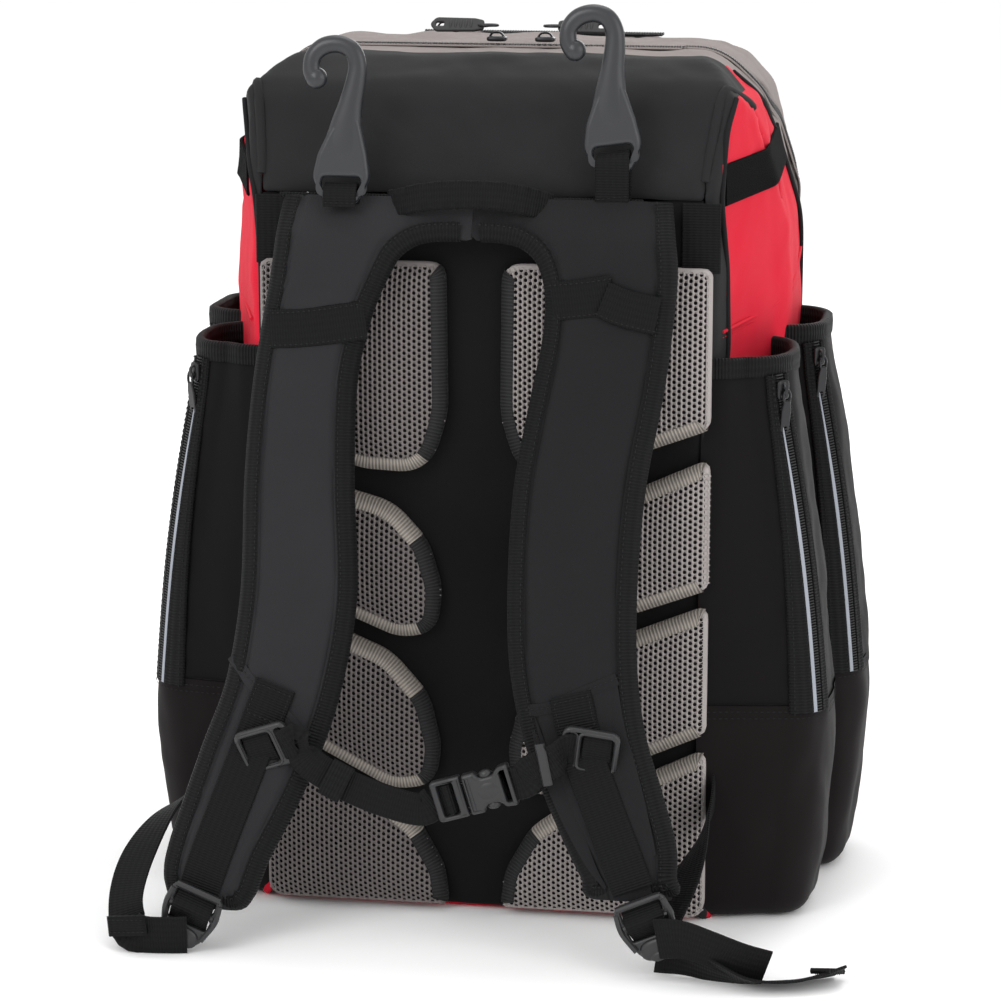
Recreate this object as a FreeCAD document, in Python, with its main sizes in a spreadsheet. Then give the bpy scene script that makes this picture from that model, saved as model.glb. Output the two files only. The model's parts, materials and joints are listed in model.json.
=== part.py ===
"""Bat and helmet backpack for diamond sports, standing on its base with the straps at the back.

Frame: +Z up, the wearer's side (back panel and shoulder straps) faces -Y, the opening cover +Y.
The origin is at the middle of the base on the ground. All sizes are millimetres.
"""
import FreeCAD, Part
import math
import os

V = FreeCAD.Vector
doc = FreeCAD.newDocument("equipment_backpack")
sheet = doc.addObject("Spreadsheet::Sheet", "Sizes")

# Driving sizes: alias, value, what it is.
SIZES = [
    ("back_plane", -110, "Y of the back panel's outer face"),
    ("front_plane", 112, "Y of the cover's outer face"),
    ("back_half", 138, "half width of the body at the back panel"),
    ("side_half", 175, "half width of the body at its widest"),
    ("body_top", 520, "height of the body"),
    ("wall", 4, "thickness of the lined fabric walls"),
    ("seam_height", 441, "seam between back panel and top panel"),
    ("hinge_height", 190, "lower edge of the opening cover"),
    ("cover_gap", 0.4, "gap between cover and body along the zip"),
    ("pad_depth", 15, "thickness of the back pads"),
    ("strap_depth", 14, "thickness of the shoulder straps"),
    ("strap_top", 400, "height at which the straps leave the yoke"),
    ("webbing", 25, "width of the strap webbing"),
    ("webbing_thick", 1.6, "thickness of every webbing"),
    ("sternum", 20, "width of the chest strap"),
    ("sleeve_wall", 3, "thickness of the stretch fabric of the bat sleeves"),
    ("sleeve_hem", 135, "height of the hem between cup and sleeve"),
    ("rear_rim", 346, "height of the rear sleeves' open rim"),
    ("front_rim", 350, "height of the front sleeves' open rim"),
    ("cup_floor", 3, "height of the cups' underside"),
    ("pocket_depth", 33, "depth of the front pocket"),
    ("hook_thick", 7, "thickness of the hanging hooks"),
    ("slide_gap", 0.5, "running gap under zip sliders"),
    ("zip_height", 2.4, "height of the zip coils above their tape"),
    ("harness_shift", -6, "X of the line that the straps, hooks and chest strap are centred on"),
]
for row, (alias, value, meaning) in enumerate(SIZES, start=1):
    sheet.set("A%d" % row, meaning)
    sheet.set("B%d" % row, str(value))
    sheet.setAlias("B%d" % row, alias)
doc.recompute()


def size(alias):
    return float(sheet.get(alias))


SUBPARTS = []
PLANES = {
    "XY": FreeCAD.Rotation(),
    "XZ": FreeCAD.Rotation(V(1, 0, 0), 90),
    "YZ": FreeCAD.Rotation(V(1, 1, 1), 120),
}
NORMALS = {"XY": V(0, 0, 1), "XZ": V(0, -1, 0), "YZ": V(1, 0, 0)}
LEFT, RIGHT = -1, 1
SIDE_NAME = {LEFT: "left", RIGHT: "right"}


# ---------------------------------------------------------------- building blocks


def subpart(item, label):
    """Marks an object as a piece of the assembly, written out under its label."""
    item.Label = label
    SUBPARTS.append(item)
    return item


def outline(points, radius=0.0):
    """Sketch geometry of a closed outline whose corners are rounded. A point may give its own
    radius as a third value."""
    corners = []
    count = len(points)
    for i, point in enumerate(points):
        here = V(point[0], point[1], 0)
        before = V(points[i - 1][0], points[i - 1][1], 0) - here
        after = V(points[(i + 1) % count][0], points[(i + 1) % count][1], 0) - here
        bend = point[2] if len(point) > 2 else radius
        half = before.getAngle(after) / 2
        if bend <= 0 or half > math.radians(89.5):
            corners.append((here, here, None))
            continue
        reach = min(bend / math.tan(half), 0.49 * before.Length, 0.49 * after.Length)
        bend = reach * math.tan(half)
        start = here + before.normalize() * reach
        end = here + after.normalize() * reach
        middle = (before + after).normalize()
        mid = here + middle * (bend / math.sin(half) - bend)
        corners.append((start, end, mid))
    edges = []
    for i, (start, end, mid) in enumerate(corners):
        if mid is not None:
            edges.append(Part.Arc(start, mid, end))
        following = corners[(i + 1) % count][0]
        if end.distanceToPoint(following) > 1e-6:
            edges.append(Part.LineSegment(end, following))
    return edges


def sketch(label, plane, level, geometry):
    """A sketch on a plane: level is its Z, Y or X, for the planes XY, XZ and YZ."""
    item = doc.addObject("Sketcher::SketchObject", label)
    normal = NORMALS[plane]
    base = V(abs(normal.x), abs(normal.y), abs(normal.z)) * level
    item.Placement = FreeCAD.Placement(base, PLANES[plane])
    item.addGeometry(geometry, False)
    return item


def extrusion(label, profile, length):
    """An extrusion of a sketch along its normal; length is an expression over the sheet."""
    item = doc.addObject("Part::Extrusion", label)
    item.Base = profile
    item.DirMode = "Normal"
    item.Solid = True
    item.setExpression("LengthFwd", length)
    return item


def slab(label, plane, level, length, points, radius=0.0):
    """An outline made solid from level over length along the plane's normal."""
    return extrusion(label, sketch(label + "_sketch", plane, level, outline(points, radius)), length)


def boolean(kind, label, base, tool):
    item = doc.addObject("Part::" + kind, label)
    item.Base = base
    item.Tool = tool
    return item


def joined(label, shapes):
    item = doc.addObject("Part::MultiFuse", label)
    item.Shapes = shapes
    return item


def group(label, shapes):
    """Separate solids that share one node."""
    item = doc.addObject("Part::Compound", label)
    item.Links = shapes
    return item


def block(label, lengths, corner):
    """A box; lengths and corner hold numbers or expressions over the sheet."""
    item = doc.addObject("Part::Box", label)
    for name, value in zip(("Length", "Width", "Height"), lengths):
        item.setExpression(name, str(value))
    for axis, value in zip("xyz", corner):
        item.setExpression("Placement.Base." + axis, str(value))
    return item


def moved(item, base, rotation=None):
    """Places an object whose own placement carries its whole tree."""
    item.Placement = FreeCAD.Placement(V(*base), rotation or FreeCAD.Rotation())
    return item


def solid_feature(label, shape):
    item = doc.addObject("Part::Feature", label)
    item.Shape = shape
    return item


def ribbon(label, stations, width, thick):
    """A flat webbing through stations (centre, direction across the width)."""
    sections = []
    centres = [V(*centre) for centre, _ in stations]
    for i, (_, across) in enumerate(stations):
        along = centres[min(i + 1, len(centres) - 1)] - centres[max(i - 1, 0)]
        across = V(*across)
        across = (across - along * (across.dot(along) / along.dot(along))).normalize()
        up = along.cross(across).normalize()
        side, rise = across * (width / 2), up * (thick / 2)
        ring = [centres[i] - side - rise, centres[i] + side - rise]
        ring += [centres[i] + side + rise, centres[i] - side + rise]
        sections.append(Part.makePolygon(ring + ring[:1]))
    spans = [Part.makeLoft(sections[i : i + 2], True, True) for i in range(len(sections) - 1)]
    return solid_feature(label, spans[0].multiFuse(spans[1:]) if len(spans) > 1 else spans[0])


# ---------------------------------------------------------------- the body's form

BACK, FRONT = size("back_plane"), size("front_plane")
WALL = size("wall")
TOP = size("body_top")
SEAM = size("seam_height")
HINGE = size("hinge_height")
GAP = size("cover_gap")
WIDE = 700  # longer than the body in every direction
PLAN_SHOULDER = 5  # Y at which the plan reaches its full width


def form(label, inset):
    """The closed outer shape of the bag, made smaller all round by inset."""
    back_half = size("back_half") - inset
    side_half = size("side_half") - inset
    back, front = BACK + inset, FRONT - inset
    top = TOP - inset
    plan = [(-back_half, back, 12), (back_half, back, 12)]
    plan += [(side_half, PLAN_SHOULDER, 80), (side_half - 2, front, 34)]
    plan += [(2 - side_half, front, 34), (-side_half, PLAN_SHOULDER, 80)]
    side = [(back, inset, 6), (front, inset, 18), (front, top + 2, 38)]
    side += [(20, top, 0), (-45, top - 2, 40), (back + 24, top - 16, 30), (back, SEAM + 6, 40)]
    edge = [(side_half - 2, inset, 24), (side_half + 2, 200, 0), (side_half - 2, 415, 80)]
    edge += [(side_half - 21 - inset, 492, 26), (128 - inset, top, 36)]
    face = [(-x, z, bend) for x, z, bend in edge[::-1]] + edge
    first = slab(label + "_plan", "XY", -10, str(WIDE), plan)
    second = slab(label + "_side", "YZ", -WIDE / 2, str(WIDE), side)
    third = slab(label + "_face", "XZ", WIDE / 2, str(WIDE), face)
    return boolean("Common", label, boolean("Common", label + "_pair", first, second), third)


outer_form = form("outer_form", 0)
inner_form = form("inner_form", WALL)
body_shell = boolean("Cut", "body_shell", outer_form, inner_form)


ZIP_LINE = 2  # Y of the zip line over the top of the body


def parting(label, gap):
    """The region in front of the zip line: down the shoulders, then down the sides."""
    points = [(ZIP_LINE - gap, 600), (ZIP_LINE - gap, 514), (56, 486 - gap), (90 - gap, 440)]
    points += [(94 - gap, 400), (94 - gap, HINGE - gap), (300, HINGE - gap), (300, 600)]
    return slab(label, "YZ", -WIDE / 2, str(WIDE), points)


cover_zone = parting("cover_zone", 0)
open_zone = parting("open_zone", GAP)
cover_shell = boolean("Common", "cover_shell", body_shell, cover_zone)
fixed_shell = boolean("Cut", "fixed_shell", body_shell, open_zone)


SIDE_LAP = 1.5  # how far the side panels' seam allowance reaches inside their walls


def side_zone(label, side):
    """Everything from just inside the inner face of one side wall outwards."""
    near, far = size("back_half") - WALL - SIDE_LAP, size("side_half") - WALL - SIDE_LAP
    points = [(near, -150), (near, BACK + WALL), (far, PLAN_SHOULDER), (far, 200)]
    points += [(400, 200), (400, -150)]
    points = [(side * x, y) for x, y in points]
    return slab(label, "XY", -20, str(WIDE), points)


side_zones = {side: side_zone("side_zone_" + SIDE_NAME[side], side) for side in (LEFT, RIGHT)}
between_sides = boolean("Cut", "between_right", fixed_shell, side_zones[RIGHT])
between_sides = boolean("Cut", "between_sides", between_sides, side_zones[LEFT])


def shell_zone(label, low, high, source=between_sides):
    """The part of the fixed shell inside a box given by its corners."""
    lengths = [b - a for a, b in zip(low, high)]
    zone = block(label + "_zone", lengths, low)
    return subpart(boolean("Common", label, source, zone), label)


BASE_TURN = 26  # height to which the base panel turns up at the sides


def body_panels():
    for side in (LEFT, RIGHT):
        label = "side_panel_" + SIDE_NAME[side]
        wall = boolean("Common", label + "_wall", fixed_shell, side_zones[side])
        low = SEAM - 30  # where the shoulder has drawn in past the wall's inner face
        beside = block(label + "_beside", (300, 100, 190), (side * 150 - 150, ZIP_LINE, low))
        shoulder = boolean("Common", label + "_shoulder", between_sides, beside)
        subpart(joined(label, [wall, shoulder]), label)
    front_inside = FRONT - WALL
    shell_zone("base_panel", (-300, BACK + WALL, -5), (300, front_inside, BASE_TURN))
    shell_zone("back_panel", (-300, -200, -5), (300, BACK + WALL, SEAM))
    shell_zone("top_panel", (-300, -200, SEAM), (300, ZIP_LINE, 600))
    shell_zone("lower_front_panel", (-300, front_inside, -5), (300, 200, HINGE + 10))
    stiffener = block(
        "frame_sheet", (240, 2, 400), (-120, "Sizes.back_plane + Sizes.wall", 20)
    )
    subpart(stiffener, "frame_sheet")


body_panels()

# ---------------------------------------------------------------- the opening cover

COVER_FACE = FRONT - 6  # Y where the rounded gusset becomes the flat face


def opening_cover():
    front_zone = block("cover_face_zone", (600, 100, 600), (-300, COVER_FACE, 0))
    subpart(boolean("Cut", "cover_gusset", cover_shell, front_zone), "cover_gusset")
    subpart(boolean("Common", "cover_front", cover_shell, front_zone), "cover_front")


def front_pocket():
    """A gusseted pocket on the cover, open only towards the cover's face."""
    half, low, high = 92, HINGE + 12, 516
    points = [(-half - 6, low, 18), (half + 6, low, 18), (half, high, 30), (-half, high, 30)]
    start = FRONT + size("pocket_depth")
    reach = "Sizes.pocket_depth + 24"
    outside = slab("pocket_outside", "XZ", start, reach, points)
    inset = [(x * 0.965, y + (3 if y < 300 else -3), bend - 3) for x, y, bend in points]
    inside = slab("pocket_inside", "XZ", start - 3, reach, inset)
    gusset = boolean("Cut", "pocket_gusset", outside, inside)
    subpart(boolean("Cut", "front_pocket", gusset, outer_form), "front_pocket")
    zip_tape = [(-78, high), (78, high), (78, high + 1.6), (-78, high + 1.6)]
    subpart(slab("pocket_zip", "XZ", start - 8, "12", zip_tape), "pocket_zip")


opening_cover()
front_pocket()

# ---------------------------------------------------------------- main zip, sliders and pulls

ZIP_TOP_Y = ZIP_LINE - 4.5  # Y of the coil over the top of the body
SLIDER_X = 15  # half distance between the two sliders when the bag is shut
PULL_LENGTH = 38


def top_height(y):
    """Height of the body's outer top between the back roll and the middle."""
    return TOP - 2 + 2 * (y + 45) / 65


def main_zip():
    """The coil on its tape, laid over the flat of the top."""
    level = top_height(ZIP_TOP_Y + 8) - 0.1
    coil = block("main_zip", (196, 7, "Sizes.zip_height"), (-98, ZIP_TOP_Y - 3.5, level + 0.1))
    subpart(coil, "main_zip")
    above = level + 0.1 + size("zip_height") + size("slide_gap")
    for side in (LEFT, RIGHT):
        name = SIDE_NAME[side]
        plate = block("slider_plate_" + name, (13, 10, 2), (-6.5, -5, 0))
        cheek = block("slider_bridge_" + name, (8, 3, 3), (-4, -1.5, 2))
        slider = joined("main_slider_" + name, [plate, cheek])
        moved(slider, (side * SLIDER_X + 6, ZIP_TOP_Y, above))
        subpart(slider, "main_slider_" + name)
        grip = slab(
            "pull_grip_" + name, "XY", 0, "2.4",
            [(0, -3, 1.5), (PULL_LENGTH, -5, 4), (PULL_LENGTH, 5, 4), (0, 3, 1.5)],
        )
        window = slab(
            "pull_window_" + name, "XY", -1, "5",
            [(2, -1.6), (7, -1.6), (7, 1.6), (2, 1.6)],
        )
        pull = boolean("Cut", "main_pull_" + name, grip, window)
        turn = FreeCAD.Rotation(V(0, 0, 1), 0 if side > 0 else 180)
        moved(pull, (side * (SLIDER_X + 2) + 6, ZIP_TOP_Y, above + 5.6), turn)
        subpart(pull, "main_pull_" + name)


main_zip()

# ---------------------------------------------------------------- back pads

PAD_MIDDLE = -3  # X of the spine channel between the two columns of pads
# Distance from the middle of the channel to the outer edge of the pads on each side.
PAD_REACH = {LEFT: 129, RIGHT: 138}
OUTWARD = 200  # further out than the pads reach, so the outline is cut back to PAD_REACH
# Outlines (distance from the middle, height, corner radius) from the top pad down.
PAD_OUTLINES = [
    [(17, 401, 6), (OUTWARD, 401, 8), (OUTWARD, 303, 8), (66, 272, 20), (22, 266, 26), (18, 320, 60)],
    [(OUTWARD, 283, 6), (66, 262, 20), (24, 232, 28), (20, 172, 26), (62, 168, 20), (OUTWARD, 206, 8)],
    [(OUTWARD, 188, 6), (72, 170, 20), (26, 132, 32), (19, 76, 26), (60, 82, 20), (OUTWARD, 112, 8)],
    [(OUTWARD, 94, 6), (98, 76, 20), (34, 58, 26), (16, 24, 16), (17, 5, 6), (OUTWARD, 5, 12)],
]


def back_pads():
    """Spacer-mesh pads: each one a PartDesign body, four on each side of the spine channel."""
    for side in (LEFT, RIGHT):
        for number, points in enumerate(PAD_OUTLINES, start=1):
            label = "back_pad_%s_%d" % (SIDE_NAME[side], number)
            body = doc.addObject("PartDesign::Body", label)
            plane = next(f for f in body.Origin.OriginFeatures if f.Role == "XZ_Plane")
            profile = body.newObject("Sketcher::SketchObject", label + "_outline")
            profile.AttachmentSupport = [(plane, "")]
            profile.MapMode = "FlatFace"
            reach = PAD_REACH[side]
            shape = [(PAD_MIDDLE + side * min(x, reach), z, bend) for x, z, bend in points]
            profile.addGeometry(outline(shape), False)
            pad = body.newObject("PartDesign::Pad", label + "_foam")
            pad.Profile = profile
            pad.setExpression("Length", "Sizes.pad_depth")
            body.Placement.Base = V(0, BACK, 0)
            subpart(body, label)


back_pads()

# ---------------------------------------------------------------- bat sleeves and cups

# Rear and front pair: Y range at the rim and at the hem, and how far each stands out.
SLEEVES = {
    "rear": {"rim": (-100, -18, 182), "hem": (-105, -12, 209), "floor": (-100, -17, 200)},
    "front": {"rim": (-6, 76, 196), "hem": (-9, 83, 224), "floor": (-4, 78, 214)},
}
SLEEVE_WALL = size("sleeve_wall")
HEM = size("sleeve_hem")
RIMS = {"rear": size("rear_rim"), "front": size("front_rim")}
FLOOR = size("cup_floor")
CORNER = 24  # radius of the sleeves' upright corners


def section(label, side, level, span, inset):
    """A rounded section of a sleeve, reaching into the body so that it can be cut off there."""
    low, high, reach = span
    bend = CORNER - inset
    points = [(side * 100, low + inset, 0), (side * (reach - inset), low + inset, bend)]
    points += [(side * (reach - inset), high - inset, bend), (side * 100, high - inset, 0)]
    return sketch(label, "XY", level, outline(points))


def loft(label, sections):
    item = doc.addObject("Part::Loft", label)
    item.Sections = sections
    item.Solid = True
    item.Ruled = True
    return item


def tube(label, side, lower, upper, low, high, floor=None):
    """A hollow lofted sleeve outside the body; floor closes it below that height."""
    outside = loft(
        label + "_outside",
        [section(label + "_o0", side, low, lower, 0), section(label + "_o1", side, high, upper, 0)],
    )
    bottom = low - 2 if floor is None else floor
    inside = loft(
        label + "_inside",
        [
            section(label + "_i0", side, bottom, lower, SLEEVE_WALL),
            section(label + "_i1", side, high + 2, upper, SLEEVE_WALL),
        ],
    )
    wall = boolean("Cut", label + "_wall", outside, inside)
    return subpart(boolean("Cut", label, wall, outer_form), label)


def bat_sleeves():
    for side in (LEFT, RIGHT):
        for place, spans in SLEEVES.items():
            name = "%s_%s" % (place, SIDE_NAME[side])
            tube("bat_sleeve_" + name, side, spans["hem"], spans["rim"], HEM, RIMS[place])
            tube("bat_cup_" + name, side, spans["floor"], spans["hem"], FLOOR, HEM, FLOOR + 4)


bat_sleeves()


SLANT = math.sqrt(0.5)  # the zips face half outwards and half backwards


# Each zip runs down the rounded outer corner at the back of its sleeve.
def sleeve_line(side, place, height, lift):
    """A point on a sleeve's rear corner at a height, lifted off it."""
    rim, hem = SLEEVES[place]["rim"], SLEEVES[place]["hem"]
    share = (RIMS[place] - height) / (RIMS[place] - HEM)
    reach = rim[2] + (hem[2] - rim[2]) * share
    rear = rim[0] + (hem[0] - rim[0]) * share
    shift = CORNER * (1 - SLANT) - lift * SLANT
    return V(side * (reach - shift), rear + shift, height)


ZIP_HALF = 4.5  # half width of a sleeve zip
SLIDER_DROP = 12  # how far below its rim a closed sleeve's slider sits


def sleeve_zips():
    """Four sleeve zips in one node, and a slider with its pull for each."""
    tapes = []
    rise = size("zip_height")
    for side in (LEFT, RIGHT):
        for place in SLEEVES:
            name = "%s_%s" % (place, SIDE_NAME[side])
            stop = RIMS[place] - SLIDER_DROP
            start = sleeve_line(side, place, HEM + 3, rise / 2 + 0.05)
            end = sleeve_line(side, place, RIMS[place] - 3, rise / 2 + 0.05)
            across = (side, 1, 0)
            tapes.append(ribbon("zip_" + name, [(start, across), (end, across)], 9, rise))
            top = sleeve_line(side, place, stop, rise + size("slide_gap") + 1.3)
            low = sleeve_line(side, place, stop - 12, rise + size("slide_gap") + 1.3)
            plate = ribbon("slider_" + name, [(top, across), (low, across)], 8, 2)
            hang = sleeve_line(side, place, stop - 5, rise + size("slide_gap") + 3.2)
            tip = sleeve_line(side, place, stop - 36, rise + size("slide_gap") + 3.2)
            grip = ribbon("grip_" + name, [(hang, across), (tip, across)], 5, 1.9)
            slider = joined("sleeve_slider_" + name, [plate, grip])
            subpart(slider, "sleeve_slider_" + name)
    subpart(group("sleeve_zips", tapes), "sleeve_zips")


sleeve_zips()

# ---------------------------------------------------------------- yoke and shoulder straps

STRAP_TOP = size("strap_top")
STRAP_DEPTH = size("strap_depth")
# Edges of the straps as seen from behind, (X, Z), from the yoke down: outer, then inner edge.
STRAP_EDGES = {
    LEFT: (
        [(-113, 399.6), (-118, 372), (-124, 330), (-127, 277), (-127, 212), (-134, 160)]
        + [(-147, 122), (-159, 86), (-168, 56), (-169, 36), (-156, 25)],
        [(-45, 399.6), (-54, 376), (-63, 335), (-63, 277), (-59, 212), (-66, 160)]
        + [(-77, 122), (-92, 86), (-108, 54), (-116, 30), (-128, 23)],
    ),
    RIGHT: (
        [(125, 399.6), (122, 363), (118, 330), (110, 280), (107, 230), (108, 180)]
        + [(114, 140), (125, 106), (135, 72), (134, 42)],
        [(45, 399.6), (46, 363), (42, 330), (35, 280), (33, 230), (35, 180)]
        + [(43, 140), (56, 106), (72, 72), (90, 42)],
    ),
}
# Middle of the strap's thickness in side view, (Y, Z).
STRAP_PROFILE = [(-136, 400), (-137, 380), (-142, 335), (-154, 277), (-168, 212)]
STRAP_PROFILE += [(-178, 160), (-185, 122), (-191, 86), (-197, 52), (-200, 20)]


def strap_y(height):
    """Y of the strap's middle at a height."""
    for (y0, z0), (y1, z1) in zip(STRAP_PROFILE, STRAP_PROFILE[1:]):
        if z1 <= height <= z0:
            return y0 + (y1 - y0) * (z0 - height) / (z0 - z1)
    return STRAP_PROFILE[0][0] if height > STRAP_TOP else STRAP_PROFILE[-1][0]


def strap_band(label, near, far):
    """The band between two offsets in front of and behind the strap's middle line."""
    points = [(y + near, z) for y, z in STRAP_PROFILE]
    points += [(y + far, z) for y, z in reversed(STRAP_PROFILE)]
    return slab(label, "YZ", -WIDE / 2, str(WIDE), points)


def shoulder_straps():
    half = STRAP_DEPTH / 2
    for side in (LEFT, RIGHT):
        name = SIDE_NAME[side]
        outer, inner = STRAP_EDGES[side]
        front = slab("strap_front_" + name, "XZ", 0, str(WIDE), outer + inner[::-1])
        band = strap_band("strap_side_" + name, -half, half)
        subpart(boolean("Common", "strap_pad_" + name, front, band), "strap_pad_" + name)


# The lower webbing of each strap, sewn on its front: middle line (X, Z) from the pad seam down.
WEBBING_LINES = {
    LEFT: [(-101, 168), (-113, 122), (-128, 86), (-141, 56)],
    RIGHT: [(70, 172), (79, 140), (92, 100), (112, 52)],
}


def strap_webbings():
    half = size("webbing") / 2
    back = -STRAP_DEPTH / 2
    for side in (LEFT, RIGHT):
        name = SIDE_NAME[side]
        line = WEBBING_LINES[side]
        edge = [(x - half, z) for x, z in line] + [(x + half, z) for x, z in line[::-1]]
        front = slab("webbing_front_" + name, "XZ", 0, str(WIDE), edge)
        band = strap_band("webbing_side_" + name, back - size("webbing_thick"), back)
        label = "strap_webbing_" + name
        subpart(boolean("Common", label, front, band), label)


def yoke():
    """The padded piece over the shoulders that both straps grow out of, with the neck arch."""
    points = [(-113, 400), (-108, SEAM, 6), (120, SEAM, 6), (125, 400), (45, 400)]
    points += [(38, 417, 14), (-36, 417, 14), (-45, 400)]
    front = slab("yoke_front", "XZ", 0, str(WIDE), points)
    top = [(-143, 400), (-129, 400), (-126.5, 408), (BACK, 428), (BACK, SEAM), (-118, SEAM)]
    side = slab("yoke_side", "YZ", -WIDE / 2, str(WIDE), top)
    subpart(boolean("Common", "yoke", front, side), "yoke")


def haul_loop():
    """A folded webbing loop over the middle of the yoke, sewn down at both ends."""
    stations = [((-38, -123, 436), (0, 0.5, 1)), ((-26, -130, 442), (0, 1, 1.2))]
    stations += [((-10, -134, 445), (0, 1, 1)), ((14, -134, 445), (0, 1, 1))]
    stations += [((34, -130, 442), (0, 1, 1.2)), ((50, -123, 436), (0, 0.5, 1))]
    loop = ribbon("haul_band", stations, 12, 2)
    subpart(boolean("Cut", "haul_loop", loop, SUBPARTS[-1]), "haul_loop")


shoulder_straps()
strap_webbings()
yoke()
haul_loop()

# ---------------------------------------------------------------- hooks

# Middle X, height of the slot and Y of each hook; both are sewn on at the top of the yoke.
HOOKS = {LEFT: (-73, 449, -131), RIGHT: (86, 469, -119)}
HOOK_LEAN = 6  # degrees the stored hooks lean back against the top panel
HOOK_FOOT = 12.4  # how far the foot of a hook reaches below its slot


def hook_outline():
    """Outline of a J hook from its flat teardrop foot up its neck and round the arc, which
    opens to the left."""
    outer = [(-9, -11, 8), (9, -11, 8), (17, 4, 12), (12, 22, 20), (11, 38, 20)]
    outer += [(14, 58, 0), (14, 75, 10), (5, 87, 14), (-12, 87, 14), (-23, 78, 9), (-22, 57, 6)]
    outer += [(-10, 57, 6), (-9, 76, 6), (3, 78, 7), (3, 58, 12), (-4, 40, 20)]
    outer += [(-11, 22, 20), (-17, 4, 12)]
    return outer


def hooks():
    for side, (middle, slot_height, hook_y) in HOOKS.items():
        name = "hook_" + SIDE_NAME[side]
        plate = slab(name + "_plate", "XZ", 0, "Sizes.hook_thick", hook_outline())
        slot = slab(
            name + "_slot", "XZ", 1, "Sizes.hook_thick + 2",
            [(-13, -3.5, 3), (13, -3.5, 3), (12, 4, 3), (-12, 4, 3)],
        )
        hook = boolean("Cut", name, plate, slot)
        lean = FreeCAD.Rotation(V(1, 0, 0), -HOOK_LEAN)
        moved(hook, (middle, hook_y + size("hook_thick") / 2, slot_height), lean)
        subpart(hook, name)


def hook_webbings():
    """One flat loop for each hook, from the top seam of the yoke through the hook's slot."""
    for side, (middle, slot_height, hook_y) in HOOKS.items():
        across = (1, 0, 0)
        foot = min(SEAM + GAP, slot_height - HOOK_FOOT)
        back, front = hook_y + 5.4, hook_y - 6.2
        stations = [((middle, back, foot), across), ((middle, back, slot_height - 3), across)]
        stations += [((middle, hook_y, slot_height + 1), across)]
        stations += [((middle, front, slot_height - 3), across), ((middle, front, foot), across)]
        label = "hook_webbing_" + SIDE_NAME[side]
        subpart(ribbon(label, stations, size("sternum"), 1.4), label)


hooks()
hook_webbings()

# ---------------------------------------------------------------- chest strap

BUCKLE_AT = V(19, -200, 104)
BUCKLE_TILT = 17  # degrees the buckle rises towards the right strap


def buckle_frame():
    return FreeCAD.Placement(BUCKLE_AT, FreeCAD.Rotation(V(0, 1, 0), -BUCKLE_TILT))


def on_buckle(x, z, y=0.0):
    """A point given in the buckle's own directions: along it, up it and away from the body."""
    return buckle_frame().multVec(V(x, y, z))


def buckle():
    """Side-release buckle: the forked socket on the right, the arms and their frame on the left."""
    socket = block("socket_body", (27, 8, 26), (-5, -4, -13))
    cavity = block("socket_cavity", (22, 4.8, 20), (-6, -2.4, -10))
    windows = block("socket_windows", (9, 4.8, 40), (6, -2.4, -20))
    hollow = joined("socket_hollow", [cavity, windows])
    female = boolean("Cut", "buckle_female", socket, hollow)
    female.Placement = buckle_frame()
    subpart(female, "buckle_female")
    frame = block("plug_frame", (20, 7, 26), (-25.5, -3.5, -13))
    slot = block("plug_slot", (7, 20, 20), (-21.5, -10, -10))
    arms = [block("plug_arm_a", (20, 4, 3.6), (-6, -2, 5.8))]
    arms.append(block("plug_arm_b", (20, 4, 3.6), (-6, -2, -9.4)))
    arms.append(block("plug_guide", (16, 4, 3), (-6, -2, -1.5)))
    solid = joined("plug_solid", [frame] + arms)
    male = boolean("Cut", "buckle_male", solid, slot)
    male.Placement = buckle_frame()
    subpart(male, "buckle_male")


# Tri-glide sliders on the straps: middle (X, Z) and tilt in degrees.
STERNUM_SLIDERS = {LEFT: (-107, 124, -20), RIGHT: (85, 131, 8)}


def strap_slope(height):
    """Tilt of the strap's front at a height, in degrees about X."""
    rise = 10.0
    return math.degrees(math.atan2(strap_y(height - rise) - strap_y(height + rise), 2 * rise))


def sternum_sliders():
    for side, (x, z, tilt) in STERNUM_SLIDERS.items():
        name = "sternum_slider_" + SIDE_NAME[side]
        frame = slab(name + "_frame", "XZ", 2.5, "5", [(-16, -14, 5), (16, -14, 5), (16, 14, 5), (-16, 14, 5)])
        slots = [
            slab(name + "_slot_a", "XZ", 5, "10", [(-13, 4), (13, 4), (13, 11), (-13, 11)]),
            slab(name + "_slot_b", "XZ", 5, "10", [(-13, -11), (13, -11), (13, -4), (-13, -4)]),
        ]
        body = boolean("Cut", name, frame, joined(name + "_slots", slots))
        turn = FreeCAD.Rotation(V(1, 0, 0), strap_slope(z))
        turn = turn.multiply(FreeCAD.Rotation(V(0, 1, 0), tilt))
        y = strap_y(z) - STRAP_DEPTH / 2 - size("webbing_thick") - 3.4
        moved(body, (x, y, z), turn)
        subpart(body, name)


def sternum_webbings():
    width, thick = size("sternum"), size("webbing_thick")
    up = (0, 0, 1)
    buckle_up = buckle_frame().Rotation.multVec(V(0, 0, 1))
    left_end = on_buckle(-31.5, 0)
    left = [((-86, -199, 119), up), ((-64, -200.5, 108), up), ((-34, -200.5, 96), up)]
    left += [(left_end, buckle_up)]
    subpart(ribbon("sternum_webbing_left", left, width, thick), "sternum_webbing_left")
    right_end = on_buckle(25.5, 0)
    right = [(right_end, buckle_up), ((52, -200.5, 118), up), ((66, -200, 126), up)]
    subpart(ribbon("sternum_webbing_right", right, width, thick), "sternum_webbing_right")


buckle()
sternum_sliders()
sternum_webbings()

# ---------------------------------------------------------------- ladder locks and lower webbings

# Middle of each ladder lock and its turn in the plane of the strap, in degrees.
LADDER_LOCKS = {LEFT: (V(-151, -213, 24), -22), RIGHT: (V(122, -213, 33), 24)}


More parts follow.
